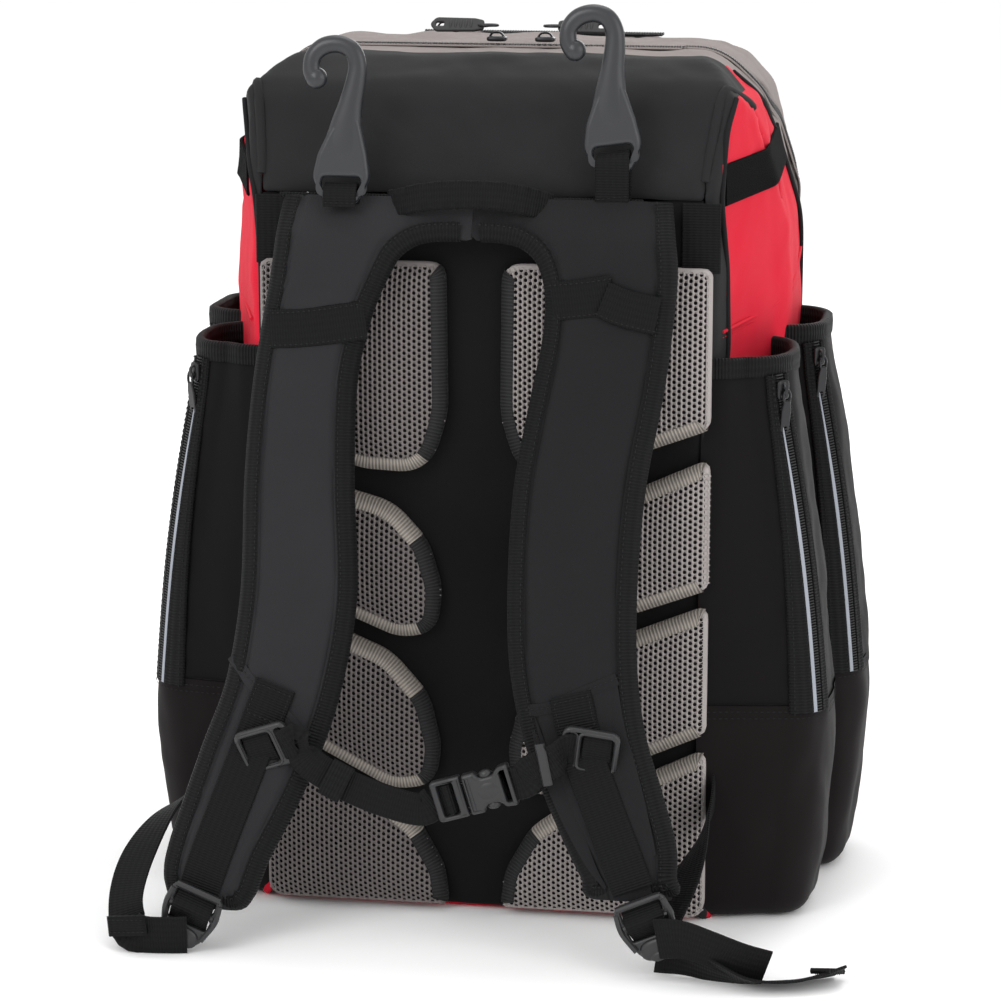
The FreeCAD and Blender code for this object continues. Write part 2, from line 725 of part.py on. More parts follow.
def ladder_locks():
    for side, (middle, turn) in LADDER_LOCKS.items():
        name = "ladder_lock_" + SIDE_NAME[side]
        plate = slab(
            name + "_plate", "XZ", 2, "4",
            [(-16, 16, 8), (16, 16, 8), (17, 0, 10), (9, -21, 12), (-9, -21, 12), (-17, 0, 10)],
        )
        slots = [
            slab(name + "_slot_a", "XZ", 5, "10", [(-13, 3), (13, 3), (13, 10), (-13, 10)]),
            slab(name + "_slot_b", "XZ", 5, "10", [(-13, -8), (13, -8), (13, -1), (-13, -1)]),
        ]
        lock = boolean("Cut", name, plate, joined(name + "_slots", slots))
        moved(lock, middle, FreeCAD.Rotation(V(0, 1, 0), -turn))
        subpart(lock, name)


def lower_webbings():
    """From the body's lower corner to the ladder lock, and on as a loose tail."""
    width, thick = size("webbing"), size("webbing_thick")
    left = [((-144, -110, 85), (0, 0, 1)), ((-162, -130, 82), (0.5, -0.3, 1))]
    left += [((-185, -160, 70), (0.9, -0.4, 0.5)), ((-196, -186, 50), (1, -0.4, 0.1))]
    left += [((-199, -206, 30), (1, -0.6, 0)), ((-194, -218, 10), (1, 0, 0))]
    left += [((-182, -223, 12), (0, -0.4, 1)), ((-168, -223, 12), (0, -0.3, 1))]
    left += [((-158, -219, 12.5), (0, -0.2, 1))]
    subpart(ribbon("lower_webbing_left", left, width, thick), "lower_webbing_left")
    anchor = [((142, -111, 84), (0, 0, 1)), ((140, -138, 72), (0.3, 0, 1))]
    anchor += [((131, -176, 48), (0.9, 0, 0.6)), ((120, -204, 20), (1, 0, 0.3))]
    tail = [((124, -219, 29), (0.1, -0.1, 1)), ((150, -225, 27), (0.3, -0.3, 1))]
    tail += [((186, -222, 14), (0.3, -0.3, 1))]
    under = [((119, -204, 14.5), (0.1, 0, 1)), ((150, -208, 11), (0.2, -0.6, 1))]
    under += [((186, -218, 3.5), (0.2, -1, 0)), ((212, -210, 4), (-0.2, -1, 0))]
    under += [((230, -200, 6), (-0.2, -1, 0))]
    runs = {"anchor_run": anchor, "tail_run": tail, "under_run": under}
    pieces = [ribbon(label, stations, width, thick) for label, stations in runs.items()]
    subpart(group("lower_webbing_right", pieces), "lower_webbing_right")


ladder_locks()
lower_webbings()

# ---------------------------------------------------------------- bands and piping


def loop_tapes():
    """Hook-and-loop bands that follow the upper side panels."""
    raised = form("raised_form", -1.2)
    skin = boolean("Cut", "tape_skin", raised, outer_form)
    bands = []
    for side in (LEFT, RIGHT):
        name = SIDE_NAME[side]
        strip = slab(
            "tape_strip_" + name, "YZ", -WIDE / 2 + side * (WIDE / 2 + 60), str(WIDE),
            [(-92, 442), (34, 436), (34, 461), (-92, 467)],
        )
        bands.append(boolean("Common", "tape_" + name, skin, strip))
    subpart(group("loop_tapes", bands), "loop_tapes")


loop_tapes()

# The straps, hooks and chest strap are all a little to one side of the middle.
HARNESS = ("strap", "yoke", "haul", "hook", "buckle", "sternum", "ladder")
for item in SUBPARTS:
    if item.Label.startswith(HARNESS):
        item.Placement.Base.x += size("harness_shift")

# ---------------------------------------------------------------- checks and export

doc.recompute()
for item in doc.Objects:
    if "Invalid" in item.State or "Error" in item.State:
        raise RuntimeError("%s failed: %s" % (item.Label, item.State))
os.makedirs("parts", exist_ok=True)
for item in SUBPARTS:
    shape = item.Shape
    if shape.isNull() or not shape.isValid() or not shape.Solids:
        raise RuntimeError("%s has no valid solid" % item.Label)
    shape.exportStep("parts/%s.step" % item.Label)
print(len(SUBPARTS), "sub-parts")
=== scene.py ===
"""Looks of the equipment backpack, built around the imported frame. Metres, +Z up, straps at -Y."""
import json
import math

import bmesh
import bpy
import numpy as np
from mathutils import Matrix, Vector
from mathutils.bvhtree import BVHTree

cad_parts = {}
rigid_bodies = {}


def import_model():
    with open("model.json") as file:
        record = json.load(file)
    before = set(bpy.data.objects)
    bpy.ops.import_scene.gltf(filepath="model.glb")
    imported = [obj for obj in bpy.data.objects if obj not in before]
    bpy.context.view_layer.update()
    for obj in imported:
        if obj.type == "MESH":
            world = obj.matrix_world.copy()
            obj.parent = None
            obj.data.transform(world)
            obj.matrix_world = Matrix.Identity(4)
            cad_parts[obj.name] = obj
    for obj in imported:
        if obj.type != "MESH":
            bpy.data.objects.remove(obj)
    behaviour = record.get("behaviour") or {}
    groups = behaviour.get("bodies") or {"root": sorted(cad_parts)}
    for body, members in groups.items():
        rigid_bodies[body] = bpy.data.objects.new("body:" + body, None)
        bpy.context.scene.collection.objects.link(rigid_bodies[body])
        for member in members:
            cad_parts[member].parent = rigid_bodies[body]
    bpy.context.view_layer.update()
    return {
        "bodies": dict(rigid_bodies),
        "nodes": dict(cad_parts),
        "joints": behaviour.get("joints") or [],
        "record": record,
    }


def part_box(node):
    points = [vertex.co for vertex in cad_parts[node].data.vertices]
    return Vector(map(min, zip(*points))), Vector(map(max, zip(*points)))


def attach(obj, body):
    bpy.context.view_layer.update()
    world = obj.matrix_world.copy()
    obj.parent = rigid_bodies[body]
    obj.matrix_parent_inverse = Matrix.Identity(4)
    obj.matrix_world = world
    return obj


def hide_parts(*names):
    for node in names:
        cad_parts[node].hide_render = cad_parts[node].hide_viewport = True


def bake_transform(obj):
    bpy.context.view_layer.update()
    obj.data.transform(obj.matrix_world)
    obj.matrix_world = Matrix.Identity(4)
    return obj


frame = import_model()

MM = 0.001
LEFT, RIGHT = -1, 1
SIDE = {LEFT: "left", RIGHT: "right"}
nodes = frame["nodes"]
# The straps, hooks and chest strap are placed from the spine channel, at this X.
SPINE = -6.0

# ---------------------------------------------------------------- paths and small maths (mm)


def unit(v):
    v = np.asarray(v, float)
    return v / np.maximum(np.linalg.norm(v, axis=-1, keepdims=True), 1e-9)


def even(path, step):
    """The path with points spaced evenly along it; only the first three columns are measured."""
    gaps = np.linalg.norm(np.diff(path[:, :3], axis=0), axis=1)
    along = np.concatenate([[0], np.cumsum(gaps)])
    count = max(2, int(round(along[-1] / step)) + 1)
    places = np.linspace(0, along[-1], count)
    return np.stack([np.interp(places, along, path[:, i]) for i in range(path.shape[1])], axis=1)


def spline(points, step=3.0, closed=False):
    """A smooth line through the points."""
    p = np.array(points, float)
    if closed:
        p = np.vstack([p[-1:], p, p[:2]])
    else:
        p = np.vstack([2 * p[0] - p[1], p, 2 * p[-1] - p[-2]])
    t = np.linspace(0, 1, 16, endpoint=False)[:, None]
    parts = []
    for a, b, c, d in zip(p, p[1:], p[2:], p[3:]):
        curve = 2 * b + (c - a) * t + (2 * a - 5 * b + 4 * c - d) * t**2
        parts.append(0.5 * (curve + (3 * b - a - 3 * c + d) * t**3))
    parts.append(p[-2:-1])
    return even(np.vstack(parts), step)


def rounded(corners, segments=6):
    """Closed outline from (x, y, radius) corners."""
    out = []
    count = len(corners)
    for i in range(count):
        here = np.array(corners[i][:2], float)
        radius = corners[i][2] if len(corners[i]) > 2 else 0
        before = unit(np.array(corners[i - 1][:2], float) - here)
        after = unit(np.array(corners[(i + 1) % count][:2], float) - here)
        half = 0.5 * math.acos(max(-1.0, min(1.0, float(before @ after))))
        if radius < 0.1 or half > 1.55:
            out.append(here)
            continue
        reach = radius / math.tan(half)
        room_before = np.linalg.norm(np.array(corners[i - 1][:2]) - here) / 2
        room_after = np.linalg.norm(np.array(corners[(i + 1) % count][:2]) - here) / 2
        reach = min(reach, room_before, room_after)
        start, end = here + before * reach, here + after * reach
        for k in range(segments + 1):
            t = k / segments
            out.append((1 - t) ** 2 * start + 2 * t * (1 - t) * here + t**2 * end)
    return np.array(out)


def rectangle(x0, y0, x1, y1, radius, segments=6):
    """Closed outline of a rectangle with rounded corners."""
    return rounded([(x0, y0, radius), (x1, y0, radius), (x1, y1, radius), (x0, y1, radius)], segments)


def even_ring(ring, step):
    """The closed ring with points spaced evenly round it."""
    return even(np.vstack([ring, ring[:1]]), step)[:-1]


def sampled(line, places):
    """The line's points at fractional positions in its order."""
    order = np.arange(len(line))
    return np.stack([np.interp(places, order, column) for column in line.T], axis=1)


def waves(points, length, seed, count=9):
    """Smooth seeded noise between about -1 and 1 at each point; length is its wavelength."""
    random = np.random.default_rng(seed)
    total = np.zeros(len(points))
    for _ in range(count):
        direction = unit(random.normal(size=3)) * 2 * math.pi / (length * random.uniform(0.6, 1.6))
        bend = unit(random.normal(size=3)) * 2 * math.pi / (length * 2.3)
        turn = random.uniform(0, 6.28, 2)
        total += np.sin(points @ direction + turn[0] + 1.3 * np.sin(points @ bend + turn[1]))
    return total / math.sqrt(count)


def circle(radius, count=8):
    angles = np.linspace(0, 2 * math.pi, count, endpoint=False)
    return np.stack([radius * np.cos(angles), radius * np.sin(angles)], axis=1)


def tape_profile(width, thick):
    half = width / 2
    top = [(-half, 0), (-half + thick * 0.4, thick / 2), (-half / 2, thick / 2), (0, thick / 2)]
    top += [(half / 2, thick / 2), (half - thick * 0.4, thick / 2), (half, 0)]
    bottom = [(x, -y) for x, y in top[-2:0:-1]]
    return np.array(top + bottom)


# ---------------------------------------------------------------- meshes


def evaluated_mesh(item):
    """A new mesh of the item with its modifiers or curve settings applied."""
    return bpy.data.meshes.new_from_object(item.evaluated_get(bpy.context.evaluated_depsgraph_get()))


class Build:
    """Collects parts of one piece, in mm, and makes them a single object."""

    def __init__(self):
        self.points = []
        self.faces = []
        self.weave = []
        self.slots = []
        self.count = 0

    def add(self, points, faces, weave=None, material=0):
        points = np.asarray(points, float).reshape(-1, 3)
        self.points.append(points)
        self.weave.append(np.zeros((len(points), 3)) if weave is None else np.asarray(weave, float))
        self.faces += [[i + self.count for i in face] for face in faces]
        self.slots += [material] * len(faces)
        self.count += len(points)

    def grid(self, surface, weave=None, material=0, wrap=False, caps=False):
        """A (rows, columns, 3) grid of points; wrap joins the last column to the first."""
        surface = np.asarray(surface, float)
        rows, columns = surface.shape[:2]
        index = np.arange(rows * columns).reshape(rows, columns)
        if wrap:
            index = np.hstack([index, index[:, :1]])
        a, b = index[:-1, :-1].ravel(), index[:-1, 1:].ravel()
        c, d = index[1:, 1:].ravel(), index[1:, :-1].ravel()
        faces = np.stack([a, b, c, d], axis=1).tolist()
        if caps:
            faces.append(list(range(columns))[::-1])
            faces.append(list(range((rows - 1) * columns, rows * columns)))
        if weave is not None:
            weave = np.asarray(weave, float).reshape(-1, 3)
        self.add(surface.reshape(-1, 3), faces, weave, material)

    def sweep(self, path, side, profile, material=0, closed=False, caps=True):
        """profile's first number runs along side, its second along the cross product with the path."""
        path = np.asarray(path, float)
        if closed:
            tangent = unit(np.roll(path, -1, axis=0) - np.roll(path, 1, axis=0))
        else:
            tangent = unit(np.gradient(path, axis=0))
        side = np.broadcast_to(np.asarray(side, float), path.shape)
        side = unit(side - tangent * np.sum(side * tangent, axis=1, keepdims=True))
        up = np.cross(tangent, side)
        profile = np.asarray(profile, float)
        if profile.ndim == 2:
            profile = np.broadcast_to(profile, (len(path),) + profile.shape)
        surface = path[:, None, :] + profile[:, :, :1] * side[:, None, :]
        surface = surface + profile[:, :, 1:2] * up[:, None, :]
        along = np.concatenate([[0], np.cumsum(np.linalg.norm(np.diff(path, axis=0), axis=1))])
        weave = np.zeros(surface.shape)
        weave[:, :, 0] = profile[:, :, 0]
        weave[:, :, 1] = along[:, None]
        if closed:
            surface = np.concatenate([surface, surface[:1]])
            weave = np.concatenate([weave, weave[:1]])
            weave[-1, :, 1] = along[-1] + np.linalg.norm(path[0] - path[-1])
        self.grid(surface, weave, material, wrap=True, caps=caps and not closed)

    def strip(self, stations, width, thick, material=0, step=3.0, smooth=True):
        """Flat webbing through (centre, across) stations."""
        line = np.array([list(c) + list(a) for c, a in stations], float)
        line = spline(line, step) if smooth else even(line, step)
        self.sweep(line[:, :3], line[:, 3:], tape_profile(width, thick), material)

    def tube(self, path, radius, material=0, closed=False):
        path = np.asarray(path, float)
        side = np.array([0.31, 0.57, 0.76])
        self.sweep(path, side, circle(radius), material, closed)

    def stitches(self, path, normal, material=0, pitch=4.2, length=3.0, radius=0.45):
        """A row of raised stitches on a surface with that normal."""
        path = np.asarray(path, float)
        normal = np.broadcast_to(np.asarray(normal, float), path.shape)
        both = even(np.hstack([path, normal]), pitch)
        spots, out = both[:, :3], unit(both[:, 3:])
        tangent = unit(np.gradient(spots, axis=0))
        side = unit(np.cross(tangent, out))
        ends = [tangent * length / 2, side * radius, out * radius, -side * radius, -out * radius]
        ends.append(-tangent * length / 2)
        faces = []
        for k in range(4):
            faces.append([0, 1 + k, 1 + (k + 1) % 4])
            faces.append([5, 1 + (k + 1) % 4, 1 + k])
        corners = np.stack([spots + e for e in ends], axis=1)
        all_faces = [[i * 6 + v for v in f] for i in range(len(spots)) for f in faces]
        self.add(corners.reshape(-1, 3), all_faces, None, material)

    def teeth(self, path, side, out, material=0, pitch=1.7, size=(2.6, 0.9, 1.0)):
        """The coils of a zip: a row of small bars across the path."""
        path = np.asarray(path, float)
        side = np.broadcast_to(np.asarray(side, float), path.shape)
        out = np.broadcast_to(np.asarray(out, float), path.shape)
        path, side, out = np.split(even(np.hstack([path, side, out]), pitch), 3, axis=1)
        tangent = unit(np.gradient(path, axis=0))
        side = unit(side - tangent * np.sum(side * tangent, axis=1, keepdims=True))
        up = unit(np.cross(tangent, side))
        up = up * np.sign(np.sum(up * out, axis=1, keepdims=True))
        box = [(x, y, z) for x in (-1, 1) for y in (-1, 1) for z in (-1, 1)]
        quads = [(0, 1, 3, 2), (4, 6, 7, 5), (0, 4, 5, 1), (2, 3, 7, 6), (0, 2, 6, 4), (1, 5, 7, 3)]
        points = []
        for x, y, z in box:
            taper = 0.75 if z > 0 else 1.0
            corner = path + side * x * size[0] * taper + tangent * y * size[1] / 2 * taper
            points.append(corner + up * z * size[2] / 2)
        points = np.stack(points, axis=1).reshape(-1, 3)
        faces = [[i * 8 + v for v in q] for i in range(len(path)) for q in quads]
        self.add(points, faces, None, material)

    def blob(self, centre, radii, material=0, axes=None, rows=8, columns=16, power=1.0):
        """An ellipsoid, squarer with a smaller power."""
        axes = np.eye(3) if axes is None else np.asarray(axes, float)
        angle = np.linspace(-math.pi / 2, math.pi / 2, rows)[:, None]
        turn = np.linspace(0, 2 * math.pi, columns, endpoint=False)[None, :]

        def shaped(values):
            return np.sign(values) * np.abs(values) ** power

        x = shaped(np.cos(angle)) * shaped(np.cos(turn)) * radii[0]
        y = shaped(np.cos(angle)) * shaped(np.sin(turn)) * radii[1]
        z = shaped(np.sin(angle)) * radii[2] + 0 * turn
        local = np.stack([x, y, z], axis=-1)
        self.grid(np.asarray(centre, float) + local @ axes, None, material, wrap=True)

    def plate(self, outline, holes, thick, bevel, frame3, material=0):
        """A flat moulding with rounded edges; frame3 is (origin, x direction, y direction)."""
        curve = bpy.data.curves.new("plate", "CURVE")
        curve.dimensions = "2D"
        curve.fill_mode = "BOTH"
        curve.bevel_depth = bevel
        curve.bevel_resolution = 3
        curve.offset = -bevel
        curve.extrude = max(0.01, thick / 2 - bevel)
        for ring in [outline] + list(holes):
            piece = curve.splines.new("POLY")
            piece.points.add(len(ring) - 1)
            for target, (x, y) in zip(piece.points, ring):
                target.co = (x, y, 0, 1)
            piece.use_cyclic_u = True
        holder = bpy.data.objects.new("plate", curve)
        bpy.context.scene.collection.objects.link(holder)
        mesh = evaluated_mesh(holder)
        flat = np.array([v.co[:] for v in mesh.vertices])
        faces = [list(p.vertices) for p in mesh.polygons]
        bpy.data.objects.remove(holder)
        bpy.data.meshes.remove(mesh)
        origin, x_axis, y_axis = [np.asarray(v, float) for v in frame3]
        z_axis = np.cross(x_axis, y_axis)
        points = origin + flat[:, :1] * x_axis + flat[:, 1:2] * y_axis + flat[:, 2:] * z_axis
        self.add(points, faces, None, material)

    def done(self, label, body, materials, replaced=(), angle=50):
        mesh = bpy.data.meshes.new(label)
        points = np.vstack(self.points) * MM
        mesh.from_pydata(points.tolist(), [], self.faces)
        attribute = mesh.attributes.new("weave", "FLOAT_VECTOR", "POINT")
        attribute.data.foreach_set("vector", (np.vstack(self.weave) * MM).ravel())
        for material in materials:
            mesh.materials.append(material)
        mesh.polygons.foreach_set("material_index", self.slots)
        work = bmesh.new()
        work.from_mesh(mesh)
        bmesh.ops.recalc_face_normals(work, faces=work.faces)
        work.to_mesh(mesh)
        work.free()
        mesh.polygons.foreach_set("use_smooth", [True] * len(mesh.polygons))
        mesh.set_sharp_from_angle(angle=math.radians(angle))
        item = bpy.data.objects.new(label, mesh)
        bpy.context.scene.collection.objects.link(item)
        if replaced:
            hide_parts(*replaced)
        if isinstance(body, str):
            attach(item, body)
        elif body is not None:
            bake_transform(item)
        return item


# ---------------------------------------------------------------- materials


def principled(name, colour, roughness=0.8, sheen=0.0, metallic=0.0, specular=0.12):
    material = bpy.data.materials.new(name)
    material.use_nodes = True
    shader = material.node_tree.nodes["Principled BSDF"]
    shader.inputs["Base Color"].default_value = (*colour, 1)
    shader.inputs["Roughness"].default_value = roughness
    shader.inputs["Metallic"].default_value = metallic
    shader.inputs["Specular IOR Level"].default_value = specular
    if sheen:
        shader.inputs["Sheen Weight"].default_value = sheen
        shader.inputs["Sheen Roughness"].default_value = 0.5
    return material


def link_bump(material, height, strength, distance):
    tree = material.node_tree
    bump = tree.nodes.new("ShaderNodeBump")
    bump.inputs["Strength"].default_value = strength
    bump.inputs["Distance"].default_value = distance
    tree.links.new(height, bump.inputs["Height"])
    tree.links.new(bump.outputs[0], tree.nodes["Principled BSDF"].inputs["Normal"])


def tint(material, factor, dark, light):
    """Colour between dark and light by a 0 to 1 value."""
    tree = material.node_tree
    ramp = tree.nodes.new("ShaderNodeMix")
    ramp.data_type = "RGBA"
    ramp.inputs["A"].default_value = (*dark, 1)
    ramp.inputs["B"].default_value = (*light, 1)
    tree.links.new(factor, ramp.inputs["Factor"])
    tree.links.new(ramp.outputs["Result"], tree.nodes["Principled BSDF"].inputs["Base Color"])


def maths(tree, kind, a, b=None):
    node = tree.nodes.new("ShaderNodeMath")
    node.operation = kind
    for socket, value in zip(node.inputs, (a, b)):
        if value is None:
            continue
        if isinstance(value, (int, float)):
            socket.default_value = value
        else:
            tree.links.new(value, socket)
    return node.outputs[0]


def noise(tree, scale, detail=2.0, source=None):
    node = tree.nodes.new("ShaderNodeTexNoise")
    node.inputs["Scale"].default_value = scale
    node.inputs["Detail"].default_value = detail
    if source is None:
        source = tree.nodes.new("ShaderNodeTexCoord").outputs["Object"]
    tree.links.new(source, node.inputs["Vector"])
    return node.outputs["Fac"]


def weave_axes(tree):
    """Distances across and along a webbing, as stored with its mesh."""
    node = tree.nodes.new("ShaderNodeAttribute")
    node.attribute_name = "weave"
    split = tree.nodes.new("ShaderNodeSeparateXYZ")
    tree.links.new(node.outputs["Vector"], split.inputs[0])
    return split.outputs["X"], split.outputs["Y"]


def scaled(colour, factor):
    return tuple(min(1.0, c * factor) for c in colour)


def woven(name, colour, pitch=0.0009, roughness=0.85, sheen=0.15, bump=0.35, spread=0.18):
    """Plain woven cloth: a fine grid of threads in object space with slow tone changes."""
    material = principled(name, colour, roughness, sheen * 0.2)
    tree = material.node_tree
    place = tree.nodes.new("ShaderNodeTexCoord").outputs["Object"]
    split = tree.nodes.new("ShaderNodeSeparateXYZ")
    tree.links.new(place, split.inputs[0])
    rate = 2 * math.pi / pitch
    flat = maths(tree, "ADD", split.outputs["X"], split.outputs["Y"])
    warp = maths(tree, "SINE", maths(tree, "MULTIPLY", flat, rate))
    weft = maths(tree, "SINE", maths(tree, "MULTIPLY", split.outputs["Z"], rate))
    grain = noise(tree, 900.0, 1.0, place)
    threads = maths(tree, "ADD", maths(tree, "MULTIPLY", warp, weft), maths(tree, "MULTIPLY", grain, 1.6))
    link_bump(material, threads, bump, 0.0002)
    slow = noise(tree, 22.0, 3.0, place)
    tint(material, slow, scaled(colour, 1 - spread), scaled(colour, 1 + spread))
    return material


def ribbed(name, colour, pitch=0.0016, roughness=0.65, bump=0.5, spread=0.35):
    """Ribbed webbing or tape: fine ribs across it, from its own along and across directions."""
    material = principled(name, colour, roughness, 0.02)
    tree = material.node_tree
    across, along = weave_axes(tree)
    ribs = maths(tree, "SINE", maths(tree, "MULTIPLY", along, 2 * math.pi / pitch))
    cords = maths(tree, "SINE", maths(tree, "MULTIPLY", across, 2 * math.pi / (pitch * 2.4)))
    both = maths(tree, "ADD", ribs, maths(tree, "MULTIPLY", cords, 0.6))
    link_bump(material, both, bump, 0.0003)
    # The colour follows the ribs, lighter on the crests and darker in the grooves: painted shade in the
    # grooves, together with some of the threads' own tone.
    share = maths(tree, "ADD", maths(tree, "MULTIPLY", both, 0.3), 0.5)
    tint(material, share, scaled(colour, 1 - spread), scaled(colour, 1 + spread))
    return material


def moulded(name, colour, roughness=0.42):
    material = principled(name, colour, roughness, specular=0.5)
    grain = noise(material.node_tree, 1500.0, 1.0)
    link_bump(material, grain, 0.08, 0.0002)
    return material


CHARCOAL = (0.024, 0.024, 0.026)
BLACK = (0.0056, 0.0053, 0.0056)
M = {
    "top": woven("top_cloth", (0.0180, 0.0180, 0.0190), 0.0008, 0.9, 0.2, 0.25, 0.12),
    "strap": woven("strap_cloth", scaled(CHARCOAL, 0.85), 0.0011, 0.85, 0.25, 0.35, 0.12),
    # The strap cloth again at half its colour: painted shade for the right strap.
    "strap_painted_shade": woven("strap_cloth_painted_shade", scaled(CHARCOAL, 0.5), 0.0011, 0.85, 0.25, 0.35, 0.12),
    "back": woven("back_cloth", BLACK, 0.0009, 0.85, 0.1, 0.3, 0.15),
    "red": woven("red_cloth", (0.60, 0.010, 0.030), 0.0010, 0.75, 0.1, 0.35, 0.07),
    "grey": woven("grey_cloth", (0.235, 0.205, 0.195), 0.0013, 0.85, 0.1, 0.5, 0.12),
    "cover": woven("cover_cloth", (0.012, 0.012, 0.013), 0.0010, 0.85, 0.1, 0.35, 0.15),
    "neoprene": woven("neoprene", (0.0042, 0.0036, 0.0038), 0.0005, 0.8, 0.3, 0.10, 0.10),
    "cup": woven("neoprene_cup", (0.0060, 0.0044, 0.0044), 0.0005, 0.8, 0.3, 0.10, 0.12),
    "lining": woven("light_lining", (0.30, 0.32, 0.36), 0.0007, 0.7, 0.1, 0.2, 0.10),
    "webbing": ribbed("webbing", (0.0046, 0.0046, 0.0050), 0.0016),
    "binding": ribbed("edge_binding", (0.0056, 0.0056, 0.0060), 0.0019, bump=0.8, spread=0.5),
    "beige": ribbed("pad_binding", (0.250, 0.225, 0.200), 0.0021, bump=0.8, spread=0.55),
    "dim": ribbed("pad_binding_dark", (0.020, 0.020, 0.021), 0.0021, bump=0.8, spread=0.5),
    "mesh": woven("spacer_mesh", (0.40, 0.365, 0.355), 0.0006, 0.75, 0.2, 0.5, 0.10),
    # The spacer mesh again, darker: painted shade for the left pads, which lie in the strap's shadow.
    "mesh_painted_shade": woven("spacer_mesh_painted_shade", (0.24, 0.215, 0.21), 0.0006, 0.75, 0.2, 0.5, 0.10),
    "pore": principled("mesh_backing", (0.012, 0.010, 0.010), 0.9),
    "thread": principled("thread", (0.020, 0.020, 0.021), 0.7),
    "thread_light": principled("thread_light", (0.018, 0.018, 0.019), 0.8),
    "coil": principled("zip_coil", (0.014, 0.014, 0.015), 0.45, specular=0.4),
    "metal": principled("slider_lacquer", (0.022, 0.022, 0.024), 0.3, 0.0, 0.6, 0.5),
    "rubber": moulded("pull_rubber", (0.017, 0.017, 0.018), 0.55),
    "hook": moulded("hook_plastic", (0.020, 0.021, 0.024), 0.34),
    "plastic": moulded("buckle_plastic", (0.014, 0.014, 0.0155), 0.40),
}


def pile():
    material = principled("loop_pile", (0.0045, 0.0045, 0.0048), 0.95, specular=0.05)
    link_bump(material, noise(material.node_tree, 1100.0, 3.0), 1.0, 0.0012)
    return material


M["pile"] = pile()

# ---------------------------------------------------------------- body panels


def skin_of(*labels):
    """Ray-casting trees of CAD nodes."""
    trees = {}
    for label in labels:
        mesh = nodes[label].data
        points = [v.co.copy() for v in mesh.vertices]
        trees[label] = BVHTree.FromPolygons(points, [list(p.vertices) for p in mesh.polygons])
    return trees


BODY_NODES = ["top_panel", "side_panel_left", "side_panel_right", "cover_gusset", "cover_front"]
BODY_NODES += ["back_panel", "base_panel", "lower_front_panel", "front_pocket"]
skin = skin_of(*BODY_NODES)


def cast(start, direction, labels=BODY_NODES):
    """Nearest (node, point, normal) on the body from start, in mm."""
    origin = Vector([c * MM for c in start])
    heading = Vector(direction).normalized()
    best = None
    for label in labels:
        place, normal, _, gap = skin[label].ray_cast(origin, heading)
        if place is not None and (best is None or gap < best[3]):
            if normal.dot(heading) > 0:
                normal = -normal
            best = (label, np.array(place) / MM, np.array(normal), gap)
    return best[:3] if best else None


def on_side(side, yz, lift=0.6):
    """Points and normals where lines along X meet the outside of the body."""
    places, normals = [], []
    for y, z in yz:
        hit = cast((side * 300, y, z), (-side, 0, 0))
        if hit:
            places.append(hit[1] + hit[2] * lift)
            normals.append(hit[2])
    return np.array(places), np.array(normals)


def smoothed(values, rounds=3):
    values = values.copy()
    for _ in range(rounds):
        values[1:-1] = (values[:-2] + values[1:-1] * 2 + values[2:]) / 4
    return values


def soft_copy(label, material, rise=0.9, length=60.0, seed=1, voxel=2.6, body="root"):
    """The node as sewn cloth, softened and gently uneven; a list of cloths is laid out by cloth_of."""
    source = nodes[label]
    item = bpy.data.objects.new(label + "_cloth", source.data.copy())
    bpy.context.scene.collection.objects.link(item)
    remesh = item.modifiers.new("remesh", "REMESH")
    remesh.mode = "VOXEL"
    remesh.voxel_size = voxel * MM
    remesh.use_smooth_shade = True
    relax = item.modifiers.new("relax", "SMOOTH")
    relax.factor = 0.5
    relax.iterations = 5
    mesh = evaluated_mesh(item)
    item.modifiers.clear()
    item.data = mesh
    mesh.materials.clear()
    cloths = material if isinstance(material, list) else [material]
    for cloth in cloths:
        mesh.materials.append(cloth)
    count = len(mesh.vertices)
    points = np.empty(count * 3)
    normals = np.empty(count * 3)
    mesh.vertices.foreach_get("co", points)
    mesh.vertices.foreach_get("normal", normals)
    points, normals = points.reshape(-1, 3), normals.reshape(-1, 3)
    slow = waves(points / MM, length, seed)
    quick_part = waves(points / MM, length * 0.35, seed + 7) * 0.3
    centre = (points.max(axis=0) + points.min(axis=0)) / 2
    outward = unit(points - centre)
    heading = np.where(np.sum(normals * outward, axis=1) > 0, 1.0, -1.0)[:, None] * normals
    points = points + heading * ((slow + quick_part) * rise * MM)[:, None]
    mesh.vertices.foreach_set("co", points.ravel())
    if len(cloths) > 1:
        centres = np.empty(len(mesh.polygons) * 3)
        mesh.polygons.foreach_get("center", centres)
        centres = centres.reshape(-1, 3) / MM
        mesh.polygons.foreach_set("material_index", cloth_of(centres).astype(np.int32))
    mesh.update()
    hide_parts(label)
    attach(item, body)


# The seam between the back half's colours and the grey front half, (Y, Z) down each side.
COLOUR_SEAM = np.array([(-22, 508), (44, 460), (83, 398), (83, 192)], float)
TOP_SEAM_Y = -31.0
# How far to each side the black cloth over the top and back reaches, (X, Z) from the top down.
BLACK_EDGE = {
    LEFT: np.array(
        [(150, 513), (152, 500), (150, 488), (142, 464), (136, 438), (133, 400), (132, 20)], float
    ),
    RIGHT: np.array(
        [(146, 513), (148, 503), (143, 480), (141, 441), (144, 400), (145, 350), (141, 312), (139, 20)], float
    ),
}


def cloth_of(points):
    """0 where the body is black, 1 where it is red and 2 where it is grey."""
    down = COLOUR_SEAM[::-1]
    limit = np.interp(points[:, 2], down[:, 1], down[:, 0])
    in_front = (points[:, 1] > limit) & (points[:, 2] > COLOUR_SEAM[-1, 1])
    left, right = [np.interp(points[:, 2], e[::-1, 1], e[::-1, 0]) for e in BLACK_EDGE.values()]
    edge = np.where(points[:, 0] < 0, left, right)
    black = (np.abs(points[:, 0]) < edge) & (points[:, 1] < TOP_SEAM_Y)
    return np.where(black, 0, np.where(in_front | (points[:, 2] > 512), 2, 1))


